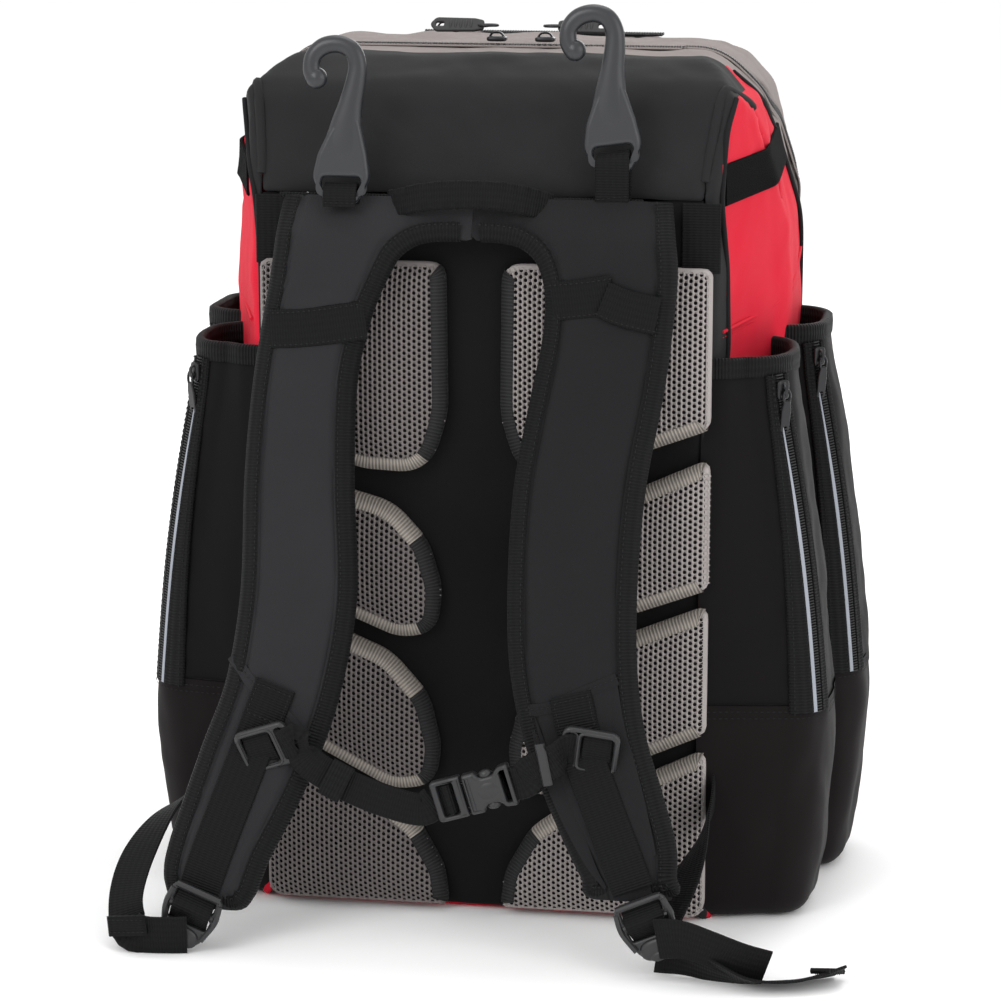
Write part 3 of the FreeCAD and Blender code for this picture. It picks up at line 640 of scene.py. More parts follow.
def body_cloth():
    cloths = [M["top"], M["red"], M["grey"]]
    soft_copy("top_panel", cloths, 0.9, 70, 3)
    soft_copy("back_panel", M["back"], 0.4, 60, 4, 3.0)
    for side in (LEFT, RIGHT):
        name = "side_panel_" + SIDE[side]
        soft_copy(name, cloths, 1.0, 75, 5 + side)
    soft_copy("base_panel", M["red"], 0.5, 70, 8, 3.0)
    soft_copy("lower_front_panel", M["red"], 0.8, 80, 9, 3.0)
    soft_copy("cover_gusset", M["grey"], 1.2, 60, 10, 2.6, "cover")
    soft_copy("cover_front", M["cover"], 0.6, 70, 11, 3.0, "cover")
    soft_copy("front_pocket", M["grey"], 1.6, 70, 12, 3.0, "cover")


def seam_between(make_ray, low, high, wanted, steps=14):
    """Bisects for the place where a ray's first hit stops being the wanted node."""
    for _ in range(steps):
        middle = (low + high) / 2
        hit = cast(*make_ray(middle))
        if hit and hit[0] == wanted:
            low = middle
        else:
            high = middle
    hit = cast(*make_ray(low))
    return hit[1] - hit[2] * 1.6, hit[2]


TOP_HUB = (-58.0, 462.0)  # (Y, Z) that the rays over the top are aimed at


def piping():
    """Black piping along the seams between the black, red and grey panels."""
    trim = Build()
    cover_trim = Build()
    for side in (LEFT, RIGHT):
        # Up the edge of the black cloth from behind, then over the top to the grey front.
        path = []
        for x, z in even(BLACK_EDGE[side][::-1], 3):
            hit = cast((side * x, -300, z), (0, 1, 0))
            if hit:
                path.append(hit[1] + hit[2] * 0.4)
        path = smoothed(np.array(path), 4)
        trim.tube(even(path, 3), 1.7, 0)
        # Folded cloth where the top panel meets the side, under the same black cloth.
        path = []
        for angle in np.linspace(math.radians(191), math.radians(58), 40):
            far = (TOP_HUB[0] + 120 * math.cos(angle), TOP_HUB[1] + 120 * math.sin(angle))
            heading = (0, -math.cos(angle), -math.sin(angle))

            def ray(x, far=far, heading=heading, side=side):
                return (side * x, far[0], far[1]), heading

            path.append(seam_between(ray, 60.0, 185.0, "top_panel")[0])
        trim.tube(even(smoothed(np.array(path), 4), 3), 3.0, 3)
        line = even(COLOUR_SEAM, 4)
        path, normal = on_side(side, line, 0.5)
        trim.tube(smoothed(path, 4), 1.5, 0)
        # The side panel's cross seam, a folded edge with a row of stitches.
        line = even(np.array([(-96, 362), (-30, 366), (30, 376), (80, 388)], float), 4)
        path, normal = on_side(side, line, 0.1)
        path, normal = smoothed(path, 3), smoothed(normal, 3)
        trim.tube(path, 1.1, 1)
        down = unit(np.cross(np.gradient(path, axis=0), normal))
        down = down * np.sign(-down[:, 2:])
        trim.stitches(path + down * 3.2 + normal * 0.5, normal, 1, 3.4, 2.4, 0.4)
        # Hook-and-loop band.
        band = Build()
        line = even(np.array([(-97, 449), (-40, 452), (0, 455), (33, 458), (46, 459)], float), 4)
        path, normal = on_side(side, line, 0.9)
        path, normal = smoothed(path, 3), smoothed(normal, 3)
        band.sweep(path, np.cross(unit(np.gradient(path, axis=0)), normal), tape_profile(25, 2.2), 0)
        band.done("loop_tape_" + SIDE[side], "root", [M["pile"]], ("loop_tapes",))
    trim.done("body_piping", "root", [M["cover"], M["red"], M["thread"], M["top"]])
    edge = rounded([(-150, 196, 14), (150, 196, 14), (150, 470, 34), (-150, 470, 34)], 8)
    path = []
    for x, z in even_ring(edge, 4):
        hit = cast((x, 300, z), (0, -1, 0), ["cover_front", "cover_gusset"])
        path.append(hit[1] + hit[2] * 0.5)
    cover_trim.tube(smoothed(np.array(path), 2), 1.6, 0, closed=True)
    cover_trim.done("cover_piping", "cover", [M["cover"]])


body_cloth()
piping()

# ---------------------------------------------------------------- zips


def zip_run(build, path, side, out, width=18.0, materials=(0, 1)):
    """Tape with two coils down its middle."""
    path = np.asarray(path, float)
    build.sweep(path, side, tape_profile(width, 0.9), materials[0])
    build.teeth(path + np.asarray(out, float) * 0.9, side, out, materials[1])


ZIP_SHIFT = 4.0  # the zip's middle lies this far in front of the seam


def main_zip():
    """The zip over the top and down both shoulders, half of it on the cover's gusset."""
    trim = Build()
    low, high = [np.array(c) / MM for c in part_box("main_zip")]
    zip_y = (low[1] + high[1]) / 2 + ZIP_SHIFT
    path, normals = [], []
    for x in np.linspace(-106, 106, 60):
        hit = cast((x, zip_y, 700), (0, 0, -1))
        path.append(hit[1] + hit[2] * 0.5)
        normals.append(hit[2])
    path = smoothed(np.array(path), 3)
    zip_run(trim, path, (0, 1, 0), np.array(normals), 15)
    for shift in (-5.6, 5.6):
        trim.stitches(path + np.array([0, shift, 0.6]), (0, 0, 1), 0, 3.6)
    trim.done("main_zip_run", "root", [M["grey"], M["coil"]], ("main_zip",))
    side_runs = Build()
    for side in (LEFT, RIGHT):
        # Over the round shoulder first, then down the side.
        path, normal = [], []
        for share in np.linspace(0, 1, 24):
            angle = math.radians(90 - 72 * share)
            y = zip_y + 4 + 26 * share**1.5
            aim = (-side * math.cos(angle), 0, -math.sin(angle))
            start = (side * (108 + 150 * math.cos(angle)), y, 466 + 150 * math.sin(angle))
            hit = cast(start, aim)
            path.append(hit[1] + hit[2] * 0.6)
            normal.append(hit[2])
        line = even(np.array([(46, 494), (62, 487), (95, 442), (99, 402), (99, 200)], float), 3)
        below, facing = on_side(side, line, 0.6)
        keep = below[:, 2] < path[-1][2] - 4
        path, normal = np.vstack([path, below[keep]]), np.vstack([normal, facing[keep]])
        path, normal = smoothed(path, 6), unit(smoothed(normal, 6))
        across = np.cross(unit(np.gradient(path, axis=0)), normal)
        side_runs.sweep(path, across, tape_profile(13, 0.9), 0)
        side_runs.teeth(path + normal * 0.8, across, normal, 1)
        for shift in (-5.0, 5.0):
            side_runs.stitches(path + across * shift + normal * 0.5, normal, 0, 3.6)
    side_runs.done("cover_zip_run", "cover", [M["grey"], M["coil"]])


main_zip()


def slider_shape(build, centre, along, out, size=1.0, material=0):
    """A zip slider: a waisted body with a bridge on top."""
    along, out = unit(along), unit(out)
    side = np.cross(along, out)
    axes = np.array([along, side, out])
    build.blob(centre, (6.2 * size, 4.6 * size, 1.6 * size), material, axes, 8, 20, 0.45)
    bridge = []
    for forward, height in ((-4.4, 1.2), (-2.6, 3.4), (0.0, 3.9), (2.8, 3.4), (4.4, 1.2)):
        bridge.append(centre + out * height * size + along * forward * size)
    build.sweep(spline(bridge, 0.8), side, tape_profile(2.6 * size, 1.2 * size), material)


def main_sliders():
    """Two sliders that meet at the top, each with a long moulded pull lying outwards."""
    for side in (LEFT, RIGHT):
        name = SIDE[side]
        low, high = [np.array(c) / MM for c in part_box("main_slider_" + name)]
        centre = (low + high) / 2
        head = Build()
        slider_shape(head, centre + np.array([0, ZIP_SHIFT, -0.8]), (side, 0, 0), (0, 0, 1), 1.0)
        low, high = [np.array(c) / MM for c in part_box("main_pull_" + name)]
        middle = (low + high) / 2 + np.array([0, ZIP_SHIFT, 3.0])
        near = low[0] if side == RIGHT else high[0]
        ring = []
        for t in np.linspace(0, 2 * math.pi, 25)[:-1]:
            ring.append((near + side * (3.5 + 6.0 * math.cos(t)), middle[1] + 3.6 * math.sin(t), middle[2]))
        slider = "main_slider_" + name
        head.done("main_slider_head_" + name, slider, [M["metal"]], (slider,))
        pull = Build()
        pull.tube(np.array(ring), 0.85, 0, closed=True)
        shape = [(6, -3.2, 2), (12, -4.6, 3), (36, -5.0, 4), (40, 0, 3)]
        shape = rounded(shape + [(36, 5.0, 4), (12, 4.6, 3), (6, 3.2, 2)])
        slot = rectangle(31, -1.6, 36, 1.6, 1.2)
        # The grip leans back, so that its face shows from behind.
        lean = np.array([0, 0.62, 0.78])
        face = np.array([0, -0.78, 0.62])
        frame3 = ((near, middle[1], middle[2]), (side, 0, 0), lean)
        pull.plate(shape, [slot], 2.6, 0.9, frame3, 1)
        for k in range(5):
            spot = np.array([near + side * (14 + 3.2 * k), middle[1], middle[2]]) + face * 1.3
            pull.blob(spot, (0.9, 3.2, 0.55), 1, np.array([(1.0, 0, 0), lean, face]))
        body = "main_pull_" + name
        pull.done("main_pull_grip_" + name, body, [M["metal"], M["rubber"]], (body,))


main_sliders()

# ---------------------------------------------------------------- back pads

BACK_Y = -110.0
PAD_DEPTH = 15.0
PAD_MIDDLE = -3.0
PAD_REACH = {LEFT: 129, RIGHT: 141}
OUTWARD = 200  # further out than the pads reach, so the outline is cut back to PAD_REACH
# Outline corners of the pads, from the pads' middle line outwards: (x, z, radius).
PADS = [
    [(18, 402, 10), (OUTWARD, 402, 5), (OUTWARD, 308, 6), (98, 292, 60)]
    + [(70, 278, 40), (28, 276, 26), (17, 312, 60)],
    [(OUTWARD, 288, 5), (95, 267, 40), (50, 255, 40), (29, 232, 36), (21, 204, 30)]
    + [(24, 178, 24), (46, 174, 30), (92, 193, 60), (OUTWARD, 211, 5)],
    [(OUTWARD, 199, 5), (97, 181, 60), (52, 162, 40), (29, 136, 36), (22, 106, 30)]
    + [(25, 82, 24), (50, 78, 30), (92, 100, 60), (OUTWARD, 122, 5)],
    [(OUTWARD, 110, 5), (104, 92, 40), (62, 75, 40), (35, 55, 36)]
    + [(20, 28, 30), (17, 5, 4), (OUTWARD, 5, 10)],
]


def outline_gap(points, ring):
    """Distance from each point to a closed ring, positive inside it."""
    a, b = ring, np.roll(ring, -1, axis=0)
    edge = b - a
    best = np.full(len(points), 1e9)
    inside = np.zeros(len(points), bool)
    for start, end, run in zip(a, b, edge):
        length = float(run @ run)
        if length < 1e-9:
            continue
        share = np.clip(((points - start) @ run) / length, 0, 1)
        best = np.minimum(best, np.linalg.norm(points - start - share[:, None] * run, axis=1))
        crosses = (start[1] > points[:, 1]) != (end[1] > points[:, 1])
        slope = (end[0] - start[0]) / (end[1] - start[1] + 1e-12)
        inside ^= crosses & (points[:, 0] < start[0] + slope * (points[:, 1] - start[1]))
    return np.where(inside, best, -best)


def pad_height(gap):
    """How far a pad's face stands off the back panel at a distance in from its edge."""
    return 7.5 + (PAD_DEPTH - 6.5) * (1 - np.exp(-np.maximum(gap, 0) / 10.0))


def spacer_mesh(build, ring):
    """Raised threads round staggered oval holes, over a dark backing."""
    pitch_x, pitch_z = 2.95, 3.6
    low, high = ring.min(axis=0), ring.max(axis=0)
    sides = 10
    turn = np.linspace(0, 2 * math.pi, sides, endpoint=False)
    unit_ring = np.stack([np.cos(turn), np.sin(turn)], axis=1)
    oval = unit_ring * np.array([1.22, 1.34])
    crest = unit_ring * np.array([1.72, 1.62])
    centres = []
    for row, z in enumerate(np.arange(low[1], high[1], pitch_z / 2)):
        for x in np.arange(low[0] + (row % 2) * pitch_x, high[0], pitch_x * 2):
            centres.append((x, z))
    centres = np.array(centres)
    # Staggered rows of diamond cells: each is as wide as two pitches across.
    cell = np.array([pitch_x, pitch_z / 2]) * diamond(turn)
    rings = [(cell, -0.2), (crest, 0.3), (oval, -0.1), (oval * 0.9, -1.3)]
    keep = outline_gap(centres, ring) > 1.2
    centres = centres[keep]
    count = len(centres)
    points = []
    for shape, lift in rings:
        flat = centres[:, None, :] + shape[None, :, :]
        gap = outline_gap(flat.reshape(-1, 2), ring).reshape(count, sides)
        y = BACK_Y - pad_height(gap) - lift
        points.append(np.stack([flat[:, :, 0], y, flat[:, :, 1]], axis=-1))
    points = np.stack(points, axis=1)
    base = np.arange(count)[:, None] * (len(rings) * sides)
    faces = []
    for k in range(len(rings) - 1):
        for s in range(sides):
            n = (s + 1) % sides
            quad = np.array([k * sides + s, k * sides + n, (k + 1) * sides + n, (k + 1) * sides + s])
            faces.append(base + quad)
    faces = np.concatenate(faces).tolist()
    build.add(points.reshape(-1, 3), faces, None, 0)


def diamond(turn):
    """Unit diamond ring at the given angles."""
    c, s = np.cos(turn), np.sin(turn)
    return np.stack([c, s], axis=1) / (np.abs(c) + np.abs(s))[:, None]


def pads():
    for side in (LEFT, RIGHT):
        # The left pads take the darker copy of the mesh, as painted shade.
        cloth = M["mesh_painted_shade"] if side == LEFT else M["mesh"]
        for number, corners in enumerate(PADS, start=1):
            shape = [(side * min(x, PAD_REACH[side]) + PAD_MIDDLE, z, r) for x, z, r in corners]
            ring = rounded(shape, 8)
            if side == RIGHT:
                ring = ring[::-1]
            loop = even_ring(ring, 3.0)
            build = Build()
            middle = loop.mean(axis=0)
            shares = np.array([1.0, 0.99, 0.96, 0.9, 0.8, 0.65, 0.45, 0.25, 0.08])
            flat = middle + (loop - middle)[None, :, :] * shares[:, None, None]
            gap = outline_gap(flat.reshape(-1, 2), ring).reshape(flat.shape[:2])
            gap[0] = 0
            depth = pad_height(gap) - np.where(gap < 2.6, 0.5, 1.6)
            surface = np.stack([flat[:, :, 0], BACK_Y - depth, flat[:, :, 1]], axis=-1)
            wall = surface[:1].copy()
            wall[:, :, 1] = BACK_Y + 0.5
            build.grid(np.concatenate([wall, surface[:3]]), None, 0, wrap=True)
            build.grid(surface[2:], None, 1, wrap=True)
            spacer_mesh(build, ring)
            # Ribbed tape over the cut edge, lighter away from the spine.
            inward = unit(middle - loop)
            tangent = unit(np.roll(loop, -1, axis=0) - np.roll(loop, 1, axis=0))
            across = np.stack([-tangent[:, 1], tangent[:, 0]], axis=1)
            across = across * np.sign(np.sum(across * inward, axis=1, keepdims=True))
            # How far in from the edge, and how far off the back panel, each line of the tape runs.
            offsets = [(-0.6, 0.0), (-1.2, 3.0), (-1.1, 7.0), (-0.2, 8.9)]
            offsets += [(1.5, 9.9), (4.0, 10.9), (7.2, 12.2), (7.6, 10.6)]
            lines = []
            for reach, height in offsets:
                flat_line = loop + across * reach
                level = np.full(len(loop), BACK_Y - height)
                lines.append(np.stack([flat_line[:, 0], level, flat_line[:, 1]], axis=-1))
            lines = np.stack(lines, axis=1)
            along = np.concatenate([[0], np.cumsum(np.linalg.norm(np.diff(loop, axis=0), axis=1))])
            weave = np.zeros(lines.shape)
            weave[:, :, 1] = along[:, None]
            weave[:, :, 0] = np.array([o[1] - o[0] for o in offsets])[None, :]
            count = len(loop)
            away = np.abs(loop[:, 0] - PAD_MIDDLE)
            for i in range(count):
                j = (i + 1) % count
                # The outer end, the bottom and the top are sewn in, so they carry no tape.
                outer_end = away[i] > PAD_REACH[side] - 3
                bottom = number == 4 and loop[i, 1] < 8
                top = number == 1 and loop[i, 1] > 399
                if outer_end or bottom or top:
                    continue
                material = 2 if abs(tangent[i, 0]) > 0.62 and away[i] > 30 else 3
                pair = np.stack([lines[i], lines[j]])
                tape = np.stack([weave[i], weave[j]])
                if j == 0:
                    tape[1, :, 1] = along[-1] + 3.0
                build.grid(pair, tape, material)
            name = "back_pad_%s_%d" % (SIDE[side], number)
            item = build.done("cushion_%s_%d" % (SIDE[side], number), "root",
                              [cloth, M["pore"], M["beige"], M["dim"]], (name,), 60)
    bands = Build()
    for x, z0, z1 in ((-124, 399, 440), (131, 399, 440)):
        bands.strip([((x, BACK_Y - 1.4, z0), (1, 0, 0)), ((x, BACK_Y - 1.4, z1), (1, 0, 0))], 23, 1.6, 0)
    bands.done("back_bands", "root", [M["webbing"]])


pads()

# ---------------------------------------------------------------- straps and yoke

# Outer and inner edge of each strap, (x from the spine, z) from the top seam to the foot.
EDGES = {
    LEFT: (
        [(-108, 441), (-111, 420), (-113, 399.6), (-118, 372), (-124, 330), (-127, 277), (-127, 212)]
        + [(-134, 160), (-147, 122), (-159, 86), (-168, 56), (-169, 38), (-160, 26)],
        [(5, 441), (5, 431), (5, 421), (3, 418.6), (-8, 418.4), (-22, 417.5), (-33, 413)]
        + [(-41, 405), (-46, 394), (-54, 376), (-63, 335), (-63, 277)]
        + [(-59, 212), (-66, 160), (-77, 122), (-92, 86), (-108, 54), (-116, 33), (-127, 24)],
    ),
    RIGHT: (
        [(120, 441), (123, 420), (125, 399.6), (122, 363), (118, 330), (110, 280), (107, 230), (108, 180)]
        + [(114, 140), (125, 106), (135, 72), (134, 44)],
        [(5, 441), (5, 431), (5, 421), (7, 418.6), (16, 418.4), (30, 417), (41, 411)]
        + [(47, 402), (50, 388), (49, 363), (43, 330), (35, 280), (33, 230)]
        + [(35, 180), (43, 140), (56, 106), (72, 72), (88, 43)],
    ),
}
# The straps' middle surface seen from the side, (y, z) from the top seam down.
PROFILE = [(-121.5, 441), (-131, 420), (-136.5, 400), (-137, 380), (-142, 335), (-154, 277), (-168, 212)]
PROFILE += [(-178, 160), (-185, 122), (-191, 86), (-197, 52), (-200, 20)]
PROFILE_LINE = spline([(y, z, 0) for y, z in PROFILE], 2.0)
HALF_EDGE = 3.4  # half thickness at the edges
CROWN = 5.2  # how much more the padding has at its middle
YOKE_X = 5.0  # where the yoke's halves meet
YOKE_ARCH = 419.5  # height of the yoke's lower edge at the middle


def top_fade(z, least):
    """Thins the padding to a share of itself towards the top seam."""
    return np.clip((448 - z) / 30, least, 1)


def strap_middle(z):
    """Middle (Y) of the strap and its outward normal in the YZ plane at heights z."""
    heights = PROFILE_LINE[::-1, 1]
    ys = PROFILE_LINE[::-1, 0]
    y = np.interp(z, heights, ys)
    slope = np.interp(z, heights, np.gradient(ys, heights))
    normal = unit(np.stack([np.zeros_like(slope), -np.ones_like(slope), slope], axis=-1))
    return y, normal


def edge_x(side, which, z):
    line = spline([(x, z0, 0) for x, z0 in EDGES[side][which]], 2.0)
    order = np.argsort(line[:, 1])
    return np.interp(z, line[order, 1], line[order, 0])


def crown_at(side, x, z):
    """Half thickness of the padding at a place on the strap, before its centre shift."""
    outer, inner = edge_x(side, 0, z), edge_x(side, 1, z)
    s = np.clip((x - outer) / (inner - outer) * 2 - 1, -1, 1)
    half = HALF_EDGE + CROWN * (1 - np.abs(s) ** 3.2) ** 0.8
    return half * top_fade(z, 0.35)


def on_strap(side, x, z, lift=0.0):
    """Points and normals on the strap's front face; x is measured from the spine."""
    x, z = np.asarray(x, float), np.asarray(z, float)
    y, normal = strap_middle(z)
    half = crown_at(side, x, z)
    base = np.stack([x + SPINE, y, z], axis=-1)
    return base + normal * (half + lift)[..., None], normal


def edge_gap(points, line):
    """Distance from each point to a polyline."""
    best = np.full(len(points), 1e9)
    for start, end in zip(line[:-1], line[1:]):
        run = end - start
        share = np.clip(((points - start) @ run) / max(float(run @ run), 1e-9), 0, 1)
        best = np.minimum(best, np.linalg.norm(points - start - share[:, None] * run, axis=1))
    return best


def strap_rows(side):
    """Rows across the strap from the top seam to its foot: outer and inner (x, z) pairs."""
    outer = spline([(x, z, 0) for x, z in EDGES[side][0]], 1.0)
    inner = spline([(x, z, 0) for x, z in EDGES[side][1]], 1.0)
    share = np.linspace(0, 1, 150)
    return [sampled(line[:, :2], share * (len(line) - 1)) for line in (outer, inner)]


def strap(side):
    name = SIDE[side]
    outer, inner = strap_rows(side)
    across = np.linspace(0, 1, 51)
    build = Build()
    flat = outer[:, None, :] * (1 - across)[None, :, None] + inner[:, None, :] * across[None, :, None]
    y, normal = strap_middle(flat[:, :, 1])
    spots = flat.reshape(-1, 2)
    outer_gap = edge_gap(spots, outer).reshape(flat.shape[:2])
    arch = inner[inner[:, 1] < YOKE_ARCH]
    inner_gap = edge_gap(spots, arch).reshape(flat.shape[:2])
    s = (outer_gap - inner_gap) / np.maximum(outer_gap + inner_gap, 1e-6)
    half = HALF_EDGE + CROWN * (1 - np.abs(s) ** 3.2) ** 0.8
    fade = top_fade(flat[:, :, 1], 0.35)
    middle = np.stack([flat[:, :, 0] + SPINE, y, flat[:, :, 1]], axis=-1)
    # The half of the yoke next to the middle stays full, so both halves meet flush.
    top_share = np.clip((flat[:, :, 1] - 405) / 20, 0, 1)
    full = HALF_EDGE + CROWN * (1 - np.clip(-s, 0, 1) ** 3.2) ** 0.8
    half = half * (1 - top_share) + full * top_share
    half = half * fade
    # A stitched valley along the inner side of each binding.
    for gap in (outer_gap, inner_gap):
        half = half - 1.5 * np.exp(-(((gap - 10.6) / 1.3) ** 2))
    level = np.stack([flat[:, :, 0] * 1.2, flat[:, :, 1], flat[:, :, 1] * 0], axis=-1)
    folds = waves(level.reshape(-1, 3), 55, 21 + side)
    folds = folds.reshape(half.shape) * 0.45 * np.minimum(1, (1 - np.abs(s)) * 4)
    small = waves(middle.reshape(-1, 3), 16, 31 + side).reshape(half.shape) * 0.16
    # Both halves of the yoke are the same at the middle, and the cloth stays under its binding.
    even_out = np.clip(np.abs(flat[:, :, 0] - YOKE_X) / 30, 0, 1)
    rise = half + (folds + small) * even_out
    for gap in (outer_gap, inner_gap):
        under = np.interp(gap, [0, 2, 5.5, 9, 10.2], [2.0, 4.2, 5.6, 6.2, 30.0])
        rise = np.minimum(rise, under * np.clip(fade, 0.45, 1))
    half = np.minimum(half, rise)
    front = middle + normal * rise[:, :, None]
    rear = middle - normal * (half * 0.85)[:, :, None]
    rear[:, :, 1] = np.minimum(rear[:, :, 1], BACK_Y - 0.5)
    ring = np.concatenate([front, rear[:, ::-1]], axis=1)
    build.grid(ring, None, 0, wrap=True, caps=True)
    # Ribbed binding folded round both long edges and the foot.
    foot = (outer[-1] + inner[-1]) / 2
    end_z = min(outer[-1][1], inner[-1][1]) - 1.5
    corners = [[edge[-1][0] * 0.7 + foot[0] * 0.3, end_z] for edge in (outer, inner)]
    rim = np.vstack([outer, corners, inner[::-1]])
    keep = ~((np.abs(rim[:, 0] - YOKE_X) < 1.5) & (rim[:, 1] > YOKE_ARCH))
    rim = rim[keep]
    line = spline(np.hstack([rim[::4], np.zeros((len(rim[::4]), 1))]), 3.0)[:, :2]
    y, out = strap_middle(line[:, 1])
    path = np.stack([line[:, 0] + SPINE, y, line[:, 1]], axis=-1)
    tangent = unit(np.gradient(path, axis=0))
    inward = unit(np.cross(out, tangent))
    centre_x = (edge_x(side, 0, line[:, 1]) + edge_x(side, 1, line[:, 1])) / 2 + SPINE
    toward = np.stack([centre_x - path[:, 0], 0 * centre_x, 0 * centre_x], axis=1)
    votes = np.sign(np.sum(inward * toward, axis=1))
    inward = inward * (1.0 if np.sum(votes[: len(votes) // 3]) >= 0 else -1.0)
    fade = top_fade(line[:, 1], 0.45)
    # The folded binding's section, (inwards, outwards from the strap's middle).
    fold = [(9.0, 7.4), (5.5, 6.8), (2.0, 5.2), (-0.4, 3.2), (-1.4, 0.0), (-0.4, -3.2), (2.0, -4.6)]
    fold += [(5.5, -5.6), (9.0, -6.0), (8.6, -4.8), (2.2, -2.4), (2.2, 2.4), (8.6, 6.0)]
    profile = np.repeat(np.array(fold)[None], len(path), axis=0)
    profile[:, :, 1] *= fade[:, None]
    up = np.cross(unit(np.gradient(path, axis=0)), inward)
    if np.sum(up * out) < 0:
        profile[:, :, 1] *= -1
    build.sweep(path, inward, profile, 1)
    stitch = path + inward * 7.6 + out * (7.4 * fade)[:, None]
    build.stitches(stitch, out, 4, 3.6, 2.6, 0.38)
    details = {LEFT: strap_details_left, RIGHT: strap_details_right}[side]
    details(build)
    hinge = [(0.0, -0.131, 0.420), (0.0, -0.139, 0.376)]
    # The right strap takes the darker copy of its cloth, as painted shade.
    cloth = M["strap"] if side == LEFT else M["strap_painted_shade"]
    replaced = ("strap_pad_" + name, "strap_webbing_" + name) + (("yoke",) if side == LEFT else ())
    item = build.done("shoulder_strap_" + name, ("root", "strap_" + name, *hinge),
                      [cloth, M["binding"], M["thread_light"], M["webbing"], M["thread"]], replaced)


def lay(build, side, points, width, lift=0.8):
    """Webbing lying on the strap along (x, z) points."""
    line = spline([(x, z, 0) for x, z in points], 3.0)
    place, normal = on_strap(side, line[:, 0], line[:, 1], lift)
    across = np.cross(unit(np.gradient(place, axis=0)), normal)
    build.sweep(place, across, tape_profile(width, 1.6), 3)
    return place, normal, unit(across)


def box_stitch(build, place, normal, across, width, first, last):
    """A sewn box over part of a laid webbing."""
    a, b = place[first] + normal[first] * 1.1, place[last] + normal[last] * 1.1
    u, v = across[first], across[last]
    h = width / 2 - 2.2
    corners = [a - u * h, a + u * h, b + v * h, b - v * h, a - u * h]
    build.stitches(even(np.array(corners), 3.5), normal[first], 4, 3.4, 2.5, 0.35)


def edge_stitches(build, laid, shifts):
    """Rows of stitches along a laid webbing, at distances from its middle."""
    place, normal, across = laid
    for shift in shifts:
        build.stitches(place + normal + across * shift, normal, 4, 3.2, 2.4, 0.35)


def strap_details_left(build):
    edge_stitches(build, lay(build, LEFT, [(-114, 364), (-90, 366), (-57, 371)], 23), (9.5, -9.5))
    # Seam where the lower padding starts, and the lower webbing on it.
    seam(build, LEFT, [(-133, 172), (-118, 155), (-98, 138), (-86, 126)])
    tape = [(-103, 158), (-116, 122), (-130, 84), (-143, 48), (-147, 36)]
    place, normal, across = lay(build, LEFT, tape, 25, 0.9)
    box_stitch(build, place, normal, across, 25, 1, 7)


def strap_details_right(build):
    edge_stitches(build, lay(build, RIGHT, [(54, 385), (74, 388), (90, 391)], 23), (9.5, -9.5))
    edge_stitches(build, lay(build, RIGHT, [(84, 388), (98, 382), (116, 378)], 22, 2.2), (9.0,))
    seam(build, RIGHT, [(47, 147), (62, 150), (78, 158), (100, 168)])
    place, normal, across = lay(build, RIGHT, [(72, 160), (82, 124), (98, 84), (112, 50)], 25, 0.9)
    box_stitch(build, place, normal, across, 25, 1, 7)
    # The folds of cloth along both sides of the webbing.
    inner_fold = [(50, 146), (58, 122), (70, 96), (86, 64), (96, 50)]
    outer_fold = [(98, 166), (101, 140), (112, 104), (124, 70)]
    for line in (inner_fold, outer_fold):
        path = spline([(x, z, 0) for x, z in line], 3.0)
        place, normal = on_strap(RIGHT, path[:, 0], path[:, 1], -0.2)
        width = np.sin(np.linspace(0.3, math.pi - 0.2, len(place)))
        fold = np.array([(-5, -0.6), (-2.5, 1.3), (0, 2.2), (2.5, 1.3), (5, -0.6), (0, -1.2)])
        profile = fold[None] * width[:, None, None]
        build.sweep(place, np.cross(unit(np.gradient(place, axis=0)), normal), profile, 0)


def seam(build, side, points):
    """A lapped cloth edge with a row of stitches beside it."""
    line = spline([(x, z, 0) for x, z in points], 3.0)
    place, normal = on_strap(side, line[:, 0], line[:, 1], 0.1)
    across = unit(np.cross(unit(np.gradient(place, axis=0)), normal))
    profile = np.array([(-6, -0.5), (-4, 0.5), (0, 1.3), (1.0, 1.1), (1.4, 0.2), (0.5, -0.6)])
    build.sweep(place, across, profile, 0)
    build.stitches(place + normal * 1.1 - across * 3.0, normal, 4, 3.4, 2.5, 0.35)


strap(LEFT)
strap(RIGHT)


def haul_loop():
    """Folded webbing with ruffled edges standing off the yoke, its ends sewn under the top seam."""
    build = Build()
    stations = [(-46, -122.5, 437), (-36, -129, 440), (-22, -134, 443.5), (0, -136, 445.5)]
    stations += [(22, -135.5, 445), (38, -130.5, 441.5), (50, -123, 437)]
    path = spline([(x + SPINE, y, z) for x, y, z in stations], 1.5)
    across = np.array([0, 0.28, 1.0])
    along = np.arange(len(path)) * 1.5
    ripple = 0.8 * np.sin(along * 0.9) + 0.5 * np.sin(along * 0.37 + 1)
    base = tape_profile(17, 2.6)
    profile = np.repeat(base[None], len(path), axis=0)
    edge = np.abs(base[:, 0]) / 8.5
    profile[:, :, 1] += ripple[:, None] * (edge**3)[None, :]
    build.sweep(path, across, profile, 0)
    seam_top = spline([(-118 + SPINE + i * 24, -121.5, 441.5) for i in range(10)], 3)
    build.tube(seam_top + np.array([6, 0, 0]), 1.5, 1)
    build.done("haul_loop_cloth", "root", [M["webbing"], M["binding"]], ("haul_loop",))


haul_loop()

# ---------------------------------------------------------------- sleeves and cups

# Back, front and reach of each sleeve at its rim, hem and floor, and its rim's height.
SLEEVES = {
    "rear": {"rim": (-100, -18, 182), "hem": (-105, -12, 209), "floor": (-100, -17, 200), "top": 346},
    "front": {"rim": (-6, 76, 196), "hem": (-9, 83, 224), "floor": (-4, 78, 214), "top": 350},
}
HEM = 135.0  # height where a sleeve enters its cup


